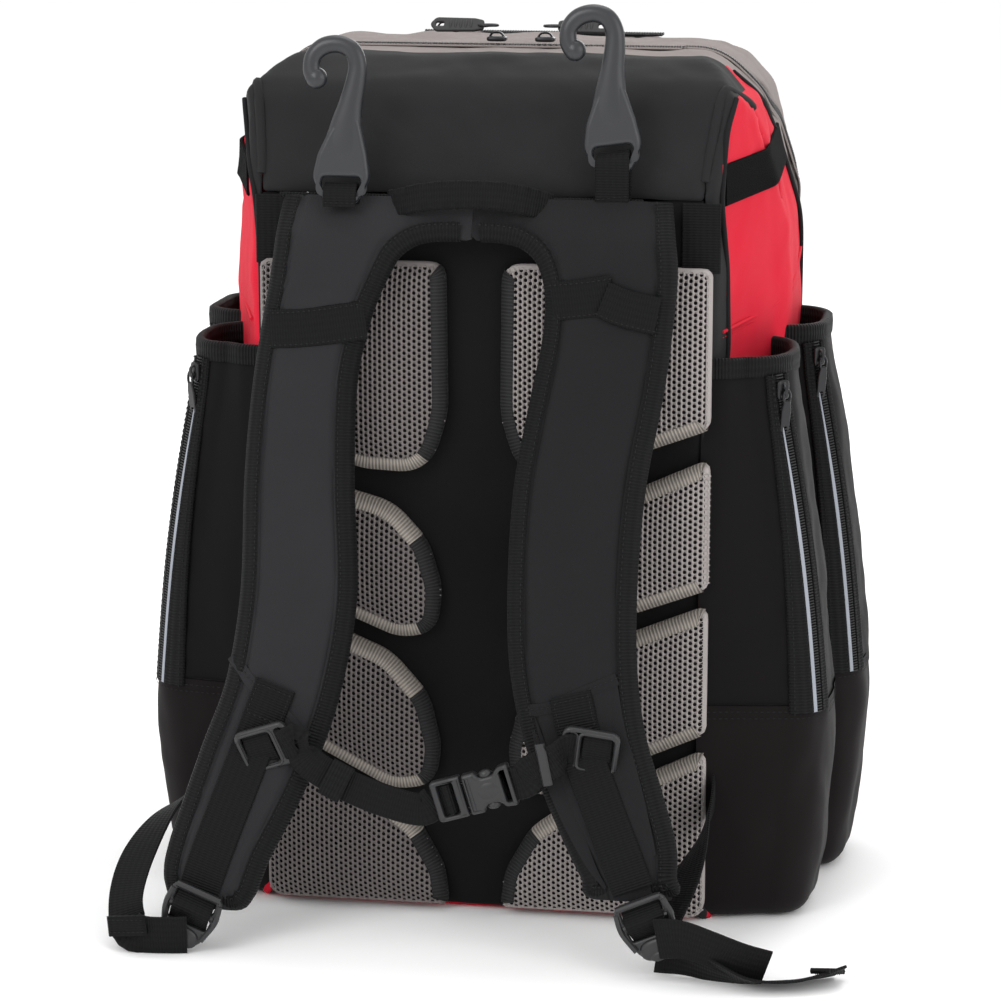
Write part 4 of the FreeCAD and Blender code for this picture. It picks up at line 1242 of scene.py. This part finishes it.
def sleeve_section(span, inset, side):
    """Plan of a sleeve as (x, y), from the body round its outer face and back to the body."""
    low, high, reach = span
    inner = 128.0
    corner = 26 - inset
    # The rear sleeves are sewn at the body's very corner, so their back slants out to it.
    start = (132.0, low - 9.0) if low < -90 else (inner, low)
    bend_x = reach - inset - corner
    points = [(start[0], start[1] + inset), (start[0] + 16, start[1] + inset + 3), (bend_x, low + inset)]
    for k in range(1, 9):
        a = -math.pi / 2 + math.pi / 2 * k / 9
        points.append((bend_x + corner * math.cos(a), low + inset + corner + corner * math.sin(a)))
    points.append((reach - inset + 1.5, (low + high) / 2))
    for k in range(1, 9):
        a = math.pi / 2 * k / 9
        points.append((bend_x + corner * math.cos(a), high - inset - corner + corner * math.sin(a)))
    points += [(bend_x, high - inset), (inner, high - inset)]
    return even(np.array([(x * side, y, 0) for x, y in points]), 2.5)


def mix_span(a, b, t):
    return tuple(p * (1 - t) + q * t for p, q in zip(a, b))


def sleeve_span(place, z):
    """Back, front and reach of a sleeve at a height."""
    spans = SLEEVES[place]
    if z >= HEM:
        t = (z - HEM) / (spans["top"] - HEM)
        span = mix_span(spans["hem"], spans["rim"], t)
        # Soft sides belly out a little between the hem and the rim.
        belly = 3.0 * math.sin(math.pi * min(1.0, t * 1.15)) if t < 0.87 else 0.0
    else:
        t = (HEM - z) / HEM
        span = mix_span(spans["hem"], spans["floor"], t**1.4)
        belly = 2.0 * math.sin(math.pi * min(1, t * 1.1))
    return (span[0] - belly * 0.3, span[1] + belly * 0.3, span[2] + belly)


def sleeve_ring(side, place, z, inset):
    span = sleeve_span(place, z)
    if z < 14:
        shrink = 14 - math.sqrt(max(0.0, 14**2 - (14 - z) ** 2))
        inset = inset + shrink * 0.9
    section = sleeve_section(span, inset, side)
    ring = sampled(section, np.linspace(0, len(section) - 1, 97))
    ring[:, 2] = z
    return ring


def tube_surface(side, place, levels, inset, seed, rise):
    rows = np.stack([sleeve_ring(side, place, z, inset) for z in levels])
    flat = rows.reshape(-1, 3)
    centre = np.array([side * 150, (SLEEVES[place]["hem"][0] + SLEEVES[place]["hem"][1]) / 2, 0])
    radial = flat - centre
    radial[:, 2] = 0
    radial = unit(radial)
    stretch = flat * np.array([1.0, 1.0, 0.55])
    folds = waves(stretch, 48, seed) + 0.35 * waves(flat, 22, seed + 3)
    away = np.clip((np.abs(flat[:, 0]) - 150) / 30, 0, 1)
    return (flat + radial * (folds * rise * away)[:, None]).reshape(rows.shape)


def sleeve(side, place):
    name = "%s_%s" % (place, SIDE[side])
    top = SLEEVES[place]["top"]
    seed = 40 + (side > 0) * 5 + (place == "front") * 11
    build = Build()
    levels = np.linspace(HEM - 4, top, 54)
    shell = tube_surface(side, place, levels, 0.6, seed, 0.9)
    inside = tube_surface(side, place, levels, 3.4, seed, 0.9)
    build.grid(np.concatenate([shell, inside[::-1]]), None, 0)
    # Turned and stitched rim.
    rim = shell[-1]
    inner_rim = inside[-1]
    middle = (rim + inner_rim) / 2
    # The folded tape's section, (up, outwards).
    fold = [(-10, -3.0), (-4, -3.3), (0.6, -2.9), (1.9, -1.2), (1.9, 1.2), (0.6, 2.9), (-4, 3.3), (-10, 3.0)]
    fold += [(-10, 2.2), (-1, 1.8), (-1, -1.8), (-10, -2.2)]
    build.sweep(middle, np.array([0, 0, 1.0]), np.array(fold), 1)
    outward = unit(rim - inner_rim)
    build.stitches(rim + outward * 1.4 - np.array([0, 0, 8.2]), outward, 2, 3.6, 2.6, 0.36)
    cloths = [M["neoprene"], M["binding"], M["thread"]]
    build.done("sleeve_" + name, "root", cloths, ("bat_sleeve_" + name,))
    cup_build = Build()
    levels = np.concatenate([np.array([2.0, 3.0, 5.0, 8.0, 12.0]), np.linspace(17, HEM + 3, 34)])
    shell = tube_surface(side, place, levels, 0.0, seed + 2, 1.0)
    lip = tube_surface(side, place, levels[-3:], -0.9, seed + 2, 1.0)
    inside = tube_surface(side, place, levels[2:], 3.2, seed + 2, 1.0)
    base = shell[0].copy()
    heart = base.mean(axis=0)
    rings = [heart + (base - heart) * s for s in (0.02, 0.5, 0.9)]
    rings = [r * np.array([1, 1, 0]) + np.array([0, 0, 1.6]) for r in rings]
    cup = np.concatenate([np.stack(rings), shell, lip[-1:], inside[::-1]])
    cup_build.grid(cup, None, 0)
    edge = lip[-1] - np.array([0, 0, 4.0])
    outward = unit(np.cross(np.gradient(edge, axis=0), np.array([0, 0, 1.0])))
    if np.sum(outward[:, 0] * side) < 0:
        outward = -outward
    for drop in (0.0, 4.2):
        cup_build.stitches(edge + outward * 0.3 - np.array([0, 0, drop]), outward, 1, 3.6, 2.6, 0.36)
    cup_build.done("cup_" + name, "root", [M["cup"], M["thread_light"]], ("bat_cup_" + name,))


BEND = 25.4  # radius of the sleeves' rear outer corners


def on_corner(side, place, heights, shift, lift):
    """Points on a sleeve's rear outer corner; shift runs round it, positive towards the front."""
    rows = []
    for z, u in zip(heights, np.broadcast_to(shift, len(heights))):
        low, _, reach = sleeve_span(place, z)
        angle = -math.pi / 4 + u / BEND
        x = reach - 0.6 - BEND + (BEND + lift) * math.cos(angle)
        y = low + 0.6 + BEND + (BEND + lift) * math.sin(angle)
        rows.append((side * x, y, z))
    return np.array(rows)


def sleeve_zips():
    build = Build()
    for side in (LEFT, RIGHT):
        for place in SLEEVES:
            top = SLEEVES[place]["top"]
            heights = np.linspace(HEM - 2, top - 9, 60)
            share = np.linspace(1, 0, 60)
            out = unit(np.array([side, -1.0, 0.15]))
            across = unit(np.array([side, 1.0, 0]))
            # The tapes widen from the rim to the hem, as the zip gapes.
            rear, front = -7.5 - 8.0 * share, 6.5 + 5.5 * share
            coil = 2.4 * share
            lips = [(rear, 0.4), (rear, 2.2), (rear * 0.5 + coil * 0.5 - 1, 2.9), (coil - 3.6, 2.5)]
            lips += [(coil - 3.4, 1.6), (coil + 3.0, 1.6), (coil + 3.3, 2.4)]
            lips += [(front * 0.9, 2.3), (front, 0.4)]
            rows = [on_corner(side, place, heights, shift, lift) for shift, lift in lips]
            surface = np.stack(rows, axis=1)
            weave = np.zeros(surface.shape)
            weave[:, :, 1] = heights[:, None]
            weave[:, :, 0] = np.stack([np.broadcast_to(shift, 60) for shift, _ in lips], axis=1)
            build.grid(surface, weave, 0)
            strip = slice(0, 52)
            light = on_corner(side, place, heights, coil - 2.9, 2.1)[strip]
            flat = np.stack([tape_profile(0.4 + 2.8 * min(1.0, s * 2.2), 1.0) for s in share[strip]])
            build.sweep(light, across, flat, 2)
            middle = on_corner(side, place, heights, coil, 2.0)
            build.teeth(middle, across, out, 1)
            for edge in (rear + 2.2, coil - 5.2, coil + 5.0):
                build.stitches(on_corner(side, place, heights, edge, 2.9), out, 3, 3.6, 2.6, 0.36)
            for edge in (rear, front):
                build.tube(on_corner(side, place, heights, edge, 0.9), 1.1, 0)
    cloths = [M["binding"], M["coil"], M["lining"], M["thread"]]
    build.done("sleeve_zip_runs", "root", cloths, ("sleeve_zips",))


for side in (LEFT, RIGHT):
    for place in SLEEVES:
        sleeve(side, place)
sleeve_zips()


def sleeve_sliders():
    for side in (LEFT, RIGHT):
        for place in SLEEVES:
            name = "sleeve_slider_%s_%s" % (place, SIDE[side])
            high = np.array(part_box(name)[1]) / MM
            build = Build()
            out = unit(np.array([float(side), -1, 0]))
            across = unit(np.array([float(side), 1, 0]))
            up = np.array([0, 0, 1.0])
            head = on_corner(side, place, [high[2] - 6], 0.0, 3.4)[0]
            slider_shape(build, head, (0, 0, 1), out, 0.95)
            hang = on_corner(side, place, [high[2] - 12], 0.0, 6.2)[0]
            around = np.linspace(0, 2 * math.pi, 17)[:-1]
            ring = [hang + across * 2.6 * math.sin(t) + up * (2 + 4.2 * math.cos(t)) for t in around]
            build.tube(np.array(ring), 0.8, 0, closed=True)
            shape = [(-2.2, 0, 1), (-3.4, -6, 2), (-3.2, -22, 3), (3.2, -22, 3), (3.4, -6, 2), (2.2, 0, 1)]
            shape = rounded(shape)
            hole = rounded([(-1.3, -16, 1), (-1.3, -20, 1), (1.3, -20, 1), (1.3, -16, 1)])
            build.plate(shape, [hole[::-1]], 2.0, 0.7, (hang, across, up + out * 0.12), 0)
            build.done(name + "_shape", name, [M["metal"]], (name,))


sleeve_sliders()

# ---------------------------------------------------------------- hooks

# Middle X from the spine, slot height and Y of each hook.
HOOKS = {LEFT: (-73, 449, -131), RIGHT: (86, 469, -119)}
LEAN = math.radians(6)
HOOK_ROLL = {LEFT: 0.0, RIGHT: math.radians(8)}


def hook(side):
    name = SIDE[side]
    x0, z0, y0 = HOOKS[side]
    origin = np.array([x0 + SPINE, y0, z0], float)
    roll = HOOK_ROLL[side]
    right = np.array([math.cos(roll), 0, math.sin(roll)])
    up = unit(np.array([-math.sin(roll), math.sin(LEAN), math.cos(roll)]))
    out = unit(np.cross(right, up))

    def place(x, z, y=0.0):
        return origin + right * x + up * z - out * y

    build = Build()
    foot = [(-9, -12, 8), (9, -12, 8), (17.4, 4, 12), (15.4, 18, 20), (12.6, 30, 20), (9.8, 42, 10)]
    foot += [(-1.5, 42, 10), (-8.4, 30, 20), (-14.2, 18, 20), (-17.4, 4, 12)]
    slot = rounded([(-12, -4, 2.5), (12, -4, 2.5), (11.5, 4.5, 3), (-11.5, 4.5, 3)])
    build.plate(rounded(foot, 10), [slot[::-1]], 6.6, 2.8, (origin, right, up), 0)
    # Middle line of the blade and its half width and half thickness: (x, z, width, thickness).
    line = [(0.2, 9, 3.0, 2.4), (0.8, 20, 11.4, 3.8), (2.2, 33, 9.6, 4.2), (5.0, 47, 7.2, 4.3)]
    line += [(7.9, 60, 6.1, 4.2), (8.8, 70, 5.5, 4.0), (5.6, 78, 5.4, 3.9), (-2, 81.6, 5.2, 3.8)]
    line += [(-11, 80.4, 5.2, 3.7), (-17.2, 75, 5.0, 3.7), (-18.6, 67.5, 5.2, 3.8), (-16.8, 62.5, 5.6, 4.1)]
    smooth = spline([(x, z, 0, w, t) for x, z, w, t in line], 1.2)
    path = np.array([place(x, z) for x, z in smooth[:, :2]])
    turn = np.linspace(0, 2 * math.pi, 16, endpoint=False)
    profile = np.stack([np.cos(turn)[None] * smooth[:, 3:4], np.sin(turn)[None] * smooth[:, 4:5]], axis=-1)
    tangent = unit(np.gradient(path, axis=0))
    build.sweep(path, np.cross(tangent, out), profile, 0)
    build.blob(place(-15.4, 61.8), (6.4, 6.4, 4.6), 0, np.array([right, up, out]), 12, 20)
    build.done("fence_hook_" + name, "hook_" + name, [M["hook"]], ("hook_" + name,), 40)
    tape = Build()
    foot_z = min(441.4, z0 - 12.4)
    stations = [((x0 + SPINE, y0 + 5.2, foot_z), right), ((x0 + SPINE, y0 + 5.0, z0 - 5), right)]
    stations += [((x0 + SPINE, y0 + 1.5, z0 + 0.6), right), ((x0 + SPINE, y0 - 3.5, z0 - 1.2), right)]
    stations += [((x0 + SPINE, y0 - 6.0, z0 - 6), right), ((x0 + SPINE, y0 - 5.6, foot_z + 0.2), right)]
    tape.strip(stations, 20, 1.6, 0, 1.5)
    front = np.array([x0 + SPINE, y0 - 6.9, foot_z + 2.6])
    tape.stitches(np.array([front - right * 8, front + right * 8]), (0, -1, 0), 1, 3.2, 2.4, 0.35)
    cloths = [M["webbing"], M["thread_light"]]
    tape.done("hook_tape_" + name, "hook_" + name, cloths, ("hook_webbing_" + name,))


hook(LEFT)
hook(RIGHT)

# ---------------------------------------------------------------- chest strap

BUCKLE_AT = np.array([19 + SPINE, -200, 104], float)
TILT = math.radians(17)
B_RIGHT = np.array([math.cos(TILT), 0, math.sin(TILT)])
B_UP = np.array([-math.sin(TILT), 0, math.cos(TILT)])
TOWARDS = np.array([0.0, -1.0, 0])


def on_buckle(x, z, out=0.0):
    return BUCKLE_AT + B_RIGHT * x + B_UP * z + TOWARDS * out


def buckle():
    frame3 = (BUCKLE_AT, B_RIGHT, B_UP)
    socket = Build()
    shape = [(-6, -12.4, 2), (2, -12.6, 2), (4.5, -8.4, 3), (12, -8.4, 4), (17, -12.4, 3), (23, -13, 2)]
    shape += [(23, 13, 2), (17, 12.4, 3), (12, 8.4, 4), (4.5, 8.4, 3), (2, 12.6, 2), (-6, 12.4, 2)]
    slot = rounded([(17, -9.5, 1), (17, 9.5, 1), (20, 9.5, 1), (20, -9.5, 1)])
    socket.plate(rounded(shape), [slot], 8.6, 2.4, frame3, 0)
    # Raised ribs round the mouth and a shallow crest along the socket.
    for x in (-4.6, -2.4):
        socket.tube(np.array([on_buckle(x, z, 4.3) for z in np.linspace(-10, 10, 9)]), 0.55, 0)
    socket.blob(on_buckle(8, 0, 3.6), (7.5, 5.5, 1.6), 0, np.array([B_RIGHT, B_UP, TOWARDS]))
    socket.done("buckle_socket", "strap_right", [M["plastic"]], ("buckle_female",), 40)
    plug = Build()
    frame = rounded([(-26, -12.6, 3), (-7, -12.6, 1.5), (-7, 12.6, 1.5), (-26, 12.6, 3)])
    window = rounded([(-22, -9.8, 1.5), (-22, 9.8, 1.5), (-12.5, 9.8, 1.5), (-12.5, -9.8, 1.5)])
    plug.plate(frame, [window], 6.6, 1.9, frame3, 0)
    bar = np.array([on_buckle(-17.4, z, -0.6) for z in np.linspace(-10.5, 10.5, 9)])
    plug.tube(bar, 1.7, 0)
    for z in (-1, 1):
        plug.blob(on_buckle(8.2, z * 9.3, 0), (4.4, 3.0, 3.4), 0, np.array([B_RIGHT, B_UP, TOWARDS]))
        arm = [on_buckle(-8, z * 7.6, 0), on_buckle(0, z * 7.6, 0), on_buckle(8, z * 8.4, 0)]
        plug.sweep(spline(arm, 2), B_UP, tape_profile(3.2, 3.4), 0)
    plug.done("buckle_plug", "buckle_male", [M["plastic"]], ("buckle_male",), 40)
    wrap = Build()
    around = [(-27, -1.6), (-22, -1.2), (-19.4, 0.6), (-17.2, 1.9), (-15, 0.6), (-13.2, -2.6)]
    wrap.strip([(on_buckle(x, 0, lift), B_UP) for x, lift in around], 18.4, 1.3, 0, 0.8)
    wrap.done("plug_tape", "buckle_male", [M["webbing"]])


buckle()

SLIDER_TILT = {LEFT: -20, RIGHT: 8}  # degrees


def turned(tilt, slope):
    """Right, up and outward axes of a flat piece tilted in its plane and with the strap."""
    t, s = math.radians(tilt), math.radians(slope)
    right = np.array([math.cos(t), 0, -math.sin(t)])
    up = np.array([math.sin(t), 0, math.cos(t)])

    def lean(v):
        y = v[1] * math.cos(s) - v[2] * math.sin(s)
        z = v[1] * math.sin(s) + v[2] * math.cos(s)
        return np.array([v[0], y, z])

    right, up = lean(right), lean(up)
    return right, up, np.cross(right, up)


def sternum_slider(side):
    name = "sternum_slider_" + SIDE[side]
    low, high = [np.array(c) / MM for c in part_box(name)]
    middle = (low + high) / 2
    slope = 13.0
    right, up, inward = turned(SLIDER_TILT[side], slope)
    out = inward if inward[1] < 0 else -inward
    build = Build()
    shell = rectangle(-17, -14, 17, 14, 6)
    x = -side
    window = rectangle(-13.5 * x, -10.2, 5.5 * x, 10.2, 3)
    loop = rectangle(9.2 * x, -10.2, 13.6 * x, 10.2, 1.6)
    build.plate(shell, [window, loop], 5.0, 1.9, (middle, right, up), 0)
    # Raised lip round the window.
    lip = rectangle(-15, -11.8, 7, 11.8, 4)
    ring = np.array([middle + right * a * x + up * b + out * 2.3 for a, b in lip])
    build.tube(ring, 1.0, 0, closed=True)
    # The strap's own tape where it shows through the window.
    tape = [(-13, -2.0), (-8, -0.4), (0, 0.8), (8, -0.4), (13, -2.0)]
    tape = [(middle - right * 4 * x + up * b + out * lift, right) for b, lift in tape]
    build.strip(tape, 17.5, 1.5, 1, 1.5)
    build.done(name + "_shape", "strap_" + SIDE[side], [M["plastic"], M["webbing"]], (name,), 40)
    return middle, right * x, up, out


def chest_webbing():
    middle, toward, up, out = sternum_slider(LEFT)
    build = Build()
    over_bar = ((8, 0.6), (14.5, 3.4), (20, 1.0))
    start = [(middle + toward * shift + out * lift, up) for shift, lift in over_bar]
    way = [((-82 + SPINE, -199, 118), (0, 0.05, 1)), ((-64 + SPINE, -200.5, 107), (0.15, 0, 1))]
    way += [((-38 + SPINE, -201, 97), (0.05, 0.05, 1))]
    way += [(on_buckle(-36, -2, 0), B_UP), (on_buckle(-26.5, 0, -1.0), B_UP)]
    build.strip(start + way, 20, 1.6, 0, 2.0)
    keeper = [((-70 + SPINE, -203.0, 110.5), (0.18, 0, 1)), ((-58 + SPINE, -203.2, 104.5), (0.18, 0, 1))]
    build.strip(keeper, 24, 2.0, 1, 1.5)
    bend_start = tuple(np.array([-70 + SPINE, -200, 110]) * MM)
    bend = ("strap_left", "buckle_male", bend_start, tuple(on_buckle(-30, 0) * MM))
    build.done("chest_webbing_left", bend, [M["webbing"], M["binding"]], ("sternum_webbing_left",))
    middle, toward, up, out = sternum_slider(RIGHT)
    build = Build()
    round_socket = ((17, -3.6), (20.5, -2.8), (24, 2.4), (30, 3.0))
    stations = [(on_buckle(x, 0, lift), B_UP) for x, lift in round_socket]
    stations += [((52 + SPINE, -203.5, 119), (-0.2, 0, 1)), ((64 + SPINE, -204.5, 126), (-0.2, 0, 1))]
    stations += [(middle + toward * 14.5 + out * 3.2, up), (middle + toward * 8 + out * 0.6, up)]
    build.strip(stations, 20, 1.6, 0, 1.5)
    under = [(on_buckle(22, 0, -2.0), B_UP), (on_buckle(30, -1, -1.5), B_UP)]
    under += [((58 + SPINE, -199.5, 120), (-0.2, 0, 1))]
    build.strip(under, 20, 1.5, 0, 1.5)
    ring = [((57 + SPINE, -206.3, 137), (1, 0, 0.5)), ((62 + SPINE, -206.0, 112), (1, 0, 0.5))]
    build.strip(ring, 6, 2.2, 2, 2.0)
    cloths = [M["webbing"], M["binding"], M["plastic"]]
    build.done("chest_webbing_right", "strap_right", cloths, ("sternum_webbing_right",))


chest_webbing()

# ---------------------------------------------------------------- ladder locks and lower webbings

# Middle from the spine and turn in degrees of each ladder lock.
LADDER_LOCKS = {LEFT: ((-151, -213, 24), -22), RIGHT: ((122, -213, 33), 24)}


def ladder_lock(side):
    name = "ladder_lock_" + SIDE[side]
    (x, y, z), turn = LADDER_LOCKS[side]
    middle = np.array([x + SPINE, y, z], float)
    t = math.radians(turn)
    right = np.array([math.cos(t), 0, math.sin(t)])
    up = np.array([-math.sin(t), 0, math.cos(t)])
    build = Build()

    def at(a, b, lift):
        return middle + right * a + up * b + TOWARDS * lift

    shape = [(-15.5, 16.5, 6), (15.5, 16.5, 6), (17.5, 2, 10), (11.5, -16, 10), (5, -21.5, 7)]
    shape = rounded(shape + [(-5, -21.5, 7), (-11.5, -16, 10), (-17.5, 2, 10)])
    upper = rounded([(-12.6, 5.2, 2), (-12.6, 12.6, 2), (12.6, 12.6, 2), (12.6, 5.2, 2)])
    lower = rounded([(-12.4, -6.6, 2), (-13.0, 0.6, 2), (13.0, 0.6, 2), (12.4, -6.6, 2)])
    build.plate(shape, [upper, lower], 4.4, 1.7, (middle, right, up), 0)
    axes = np.array([right, up, TOWARDS])
    # Spoon-shaped thumb tab with two facets and a raised end.
    build.blob(at(0, -14.5, 1.8), (10.5, 6.6, 3.0), 0, axes, 10, 20, 0.8)
    build.blob(at(0, -18.5, 3.2), (6.0, 3.2, 2.4), 0, axes, 10, 20, 0.9)
    for edge in (-1, 1):
        rail = [at(edge * 15, 12, 1.5), at(edge * 15.8, 1, 2.6), at(edge * 12, -12, 3.2)]
        build.tube(spline(rail, 2), 1.7, 0)
    for height, lift in ((14.5, 0.8), (3.0, 1.4)):
        build.tube(np.array([at(a, height, lift) for a in np.linspace(-14, 14, 9)]), 2.0, 0)
    # The webbing climbs from behind over the middle bar and back down.
    climb = [(15, -2.6), (10.5, -0.6), (6.5, 2.6), (3, 4.2), (-0.6, 2.6), (-4.5, -0.4), (-9, -3.0)]
    build.strip([(at(0, b, lift), right) for b, lift in climb], 24.2, 1.5, 1, 1.0)
    build.done(name + "_shape", name, [M["plastic"], M["webbing"]], (name,), 40)


ladder_lock(LEFT)
ladder_lock(RIGHT)


def hem(build, centre, across, along, width):
    """The doubled and stitched end of a webbing."""
    centre, across, along = np.asarray(centre, float), unit(across), unit(along)
    build.strip([(centre - along * 6, across), (centre + along * 6, across)], width, 3.4, 0, 2.0)
    out = unit(np.cross(along, across))
    out = out if out[1] < 0 else -out
    for shift in (-3.6, 3.6):
        reach = across * (width / 2 - 2)
        ends = [centre + along * shift - reach, centre + along * shift + reach]
        build.stitches(np.array(ends) + out * 1.9, out, 1, 3.0, 2.3, 0.38)


def lower_webbings():
    build = Build()
    left = [((-143, -109.5, 85), (0, 0, 1)), ((-158, -126, 83.5), (0.5, -0.3, 1))]
    left += [((-172, -144, 78), (0.7, -0.35, 0.7)), ((-186, -163, 68), (0.9, -0.4, 0.5))]
    left += [((-196, -186, 49), (1, -0.4, 0.1)), ((-198.5, -205, 30), (1, -0.5, 0))]
    left += [((-194, -216, 15), (1, -0.1, 0.5)), ((-184, -221, 12.5), (0.4, -0.2, 1))]
    left += [((-170, -221, 12.5), (0.1, -0.2, 1)), ((-158, -218.5, 12.5), (0, -0.2, 1))]
    build.strip(left, 25, 1.7, 0)
    hem(build, (-193.5, -222.5, 17.5), (1, -0.15, 0.1), (0.12, -0.1, -1), 25)
    bend = ("root", "strap_left", (-0.150, -0.118, 0.084), (-0.184, -0.218, 0.014))
    build.done("lower_tape_left", bend, [M["webbing"], M["thread_light"]], ("lower_webbing_left",))
    build = Build()
    anchor = [((143, -110, 84), (0, 0, 1)), ((141, -138, 72), (0.3, 0, 1))]
    anchor += [((132, -176, 47), (0.9, 0, 0.6)), ((119, -206, 24), (1, 0, 0.3))]
    build.strip(anchor, 25, 1.7, 0)
    tail = [((122, -219.5, 27), (0.1, -0.1, 1)), ((136, -223, 29), (0.22, -0.2, 1))]
    tail += [((152, -225, 25.5), (0.3, -0.3, 1)), ((170, -224, 18.5), (0.33, -0.25, 1))]
    tail += [((186, -221, 14), (0.36, -0.3, 1))]
    build.strip(tail, 25, 1.7, 0)
    under = [((121, -209, 15), (0.1, 0, 1)), ((138, -212, 12.5), (0.15, -0.5, 1))]
    under += [((156, -217, 8.5), (0.2, -0.8, 0.8)), ((176, -220, 5), (0.25, -1, 0.45))]
    under += [((198, -216, 4.5), (0.1, -1, 0.35)), ((214, -209, 6), (-0.1, -1, 0.35))]
    under += [((227, -202, 8), (-0.3, -1, 0.35))]
    build.strip(under, 25, 1.7, 0)
    hem(build, (220, -206, 8.6), (-0.3, -1, 0.35), (1, -0.3, 0.15), 25)
    bend = ("root", "strap_right", (0.142, -0.125, 0.078), (0.124, -0.200, 0.028))
    build.done("lower_tape_right", bend, [M["webbing"], M["thread_light"]], ("lower_webbing_right",))


lower_webbings()

# ---------------------------------------------------------------- front pocket


def pocket_front():
    """Zip across the top of the front pocket, with its slider and a stitched panel seam."""
    build = Build()
    low, high = [np.array(c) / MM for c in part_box("pocket_zip")]
    middle = (low + high) / 2
    line = np.array([(x, middle[1], middle[2] + 0.4) for x in np.linspace(low[0], high[0], 60)])
    build.sweep(line, (0, 1, 0), tape_profile(14, 1.2), 0)
    build.teeth(line + np.array([0, 0, 0.9]), (0, 1, 0), np.array([0, 0, 1.0]), 1)
    build.done("pocket_zip_run", "cover", [M["webbing"], M["coil"]], ("pocket_zip",))
    trim = Build()
    path = []
    for x, z in even_ring(rectangle(-80, 216, 80, 486, 24, 8), 4):
        hit = cast((x, 320, z), (0, -1, 0), ["front_pocket"])
        path.append(hit[1] + hit[2] * 1.2)
    trim.stitches(np.array(path), (0, 1, 0), 0, 3.6, 2.6, 0.38)
    edge = []
    for x, z in even(rectangle(-90, 205, 90, 497, 18, 8), 4):
        hit = cast((x, 320, z), (0, -1, 0), ["front_pocket"])
        if hit:
            edge.append(hit[1] + hit[2] * 0.8)
    edge.append(edge[0])
    trim.tube(even(np.array(edge), 3)[:-1], 1.7, 1, closed=True)
    trim.done("pocket_trim", "cover", [M["thread"], M["cover"]])
    slide = Build()
    spot = np.array([low[0] + 12, middle[1], middle[2] + 2.6])
    slider_shape(slide, spot, (1, 0, 0), (0, 0, 1), 0.95)
    shape = rounded([(3, -2.4, 1), (26, -3.6, 2), (28, 0, 1.5), (26, 3.6, 2), (3, 2.4, 1)])
    slide.plate(shape, [], 2.0, 0.7, (spot + np.array([2, 0, 2.0]), (1, 0, 0), (0, 1, 0)), 1)
    slide.done("pocket_slider", "cover", [M["metal"], M["rubber"]])


pocket_front()

# ---------------------------------------------------------------- camera, light, floor


def camera_and_light():
    centre = Vector((0.012, -0.110, 0.2585))
    azimuth, elevation, distance = math.radians(9.6), math.radians(12.5), 2.05
    back = Vector((math.sin(azimuth), -math.cos(azimuth), 0)) * math.cos(elevation)
    back.z = math.sin(elevation)
    eye = centre + back * distance
    data = bpy.data.cameras.new("camera")
    data.sensor_width = 36
    data.lens = 36 * distance / 0.5996
    camera = bpy.data.objects.new("camera", data)
    camera.location = eye
    camera.rotation_euler = (centre - eye).to_track_quat("-Z", "Y").to_euler()
    bpy.context.scene.collection.objects.link(camera)
    bpy.context.scene.camera = camera
    for name, place, size, power in (
        ("key", (-1.3, -2.2, 1.9), 1.3, 24),
        ("fill", (1.9, -1.5, 1.2), 1.6, 13),
        ("top", (0.1, 0.3, 2.4), 1.4, 13),
        ("rear", (0.6, 2.3, 1.4), 1.6, 18),
    ):
        lamp = bpy.data.lights.new(name, "AREA")
        lamp.size = size
        lamp.energy = power
        holder = bpy.data.objects.new(name, lamp)
        holder.location = place
        aim = Vector((0, 0, 0.25)) - Vector(place)
        holder.rotation_euler = aim.to_track_quat("-Z", "Y").to_euler()
        bpy.context.scene.collection.objects.link(holder)
    world = bpy.data.worlds.new("world")
    world.use_nodes = True
    world.node_tree.nodes["Background"].inputs[0].default_value = (1, 1, 1, 1)
    world.node_tree.nodes["Background"].inputs[1].default_value = 1.0
    bpy.context.scene.world = world
    bpy.ops.mesh.primitive_plane_add(size=60)
    floor = bpy.context.object
    floor.name = "floor"
    floor.data.materials.append(principled("floor", (1.0, 1.0, 1.0), 1.0, specular=0.0))
    bpy.context.scene.view_settings.view_transform = "Standard"


camera_and_light()
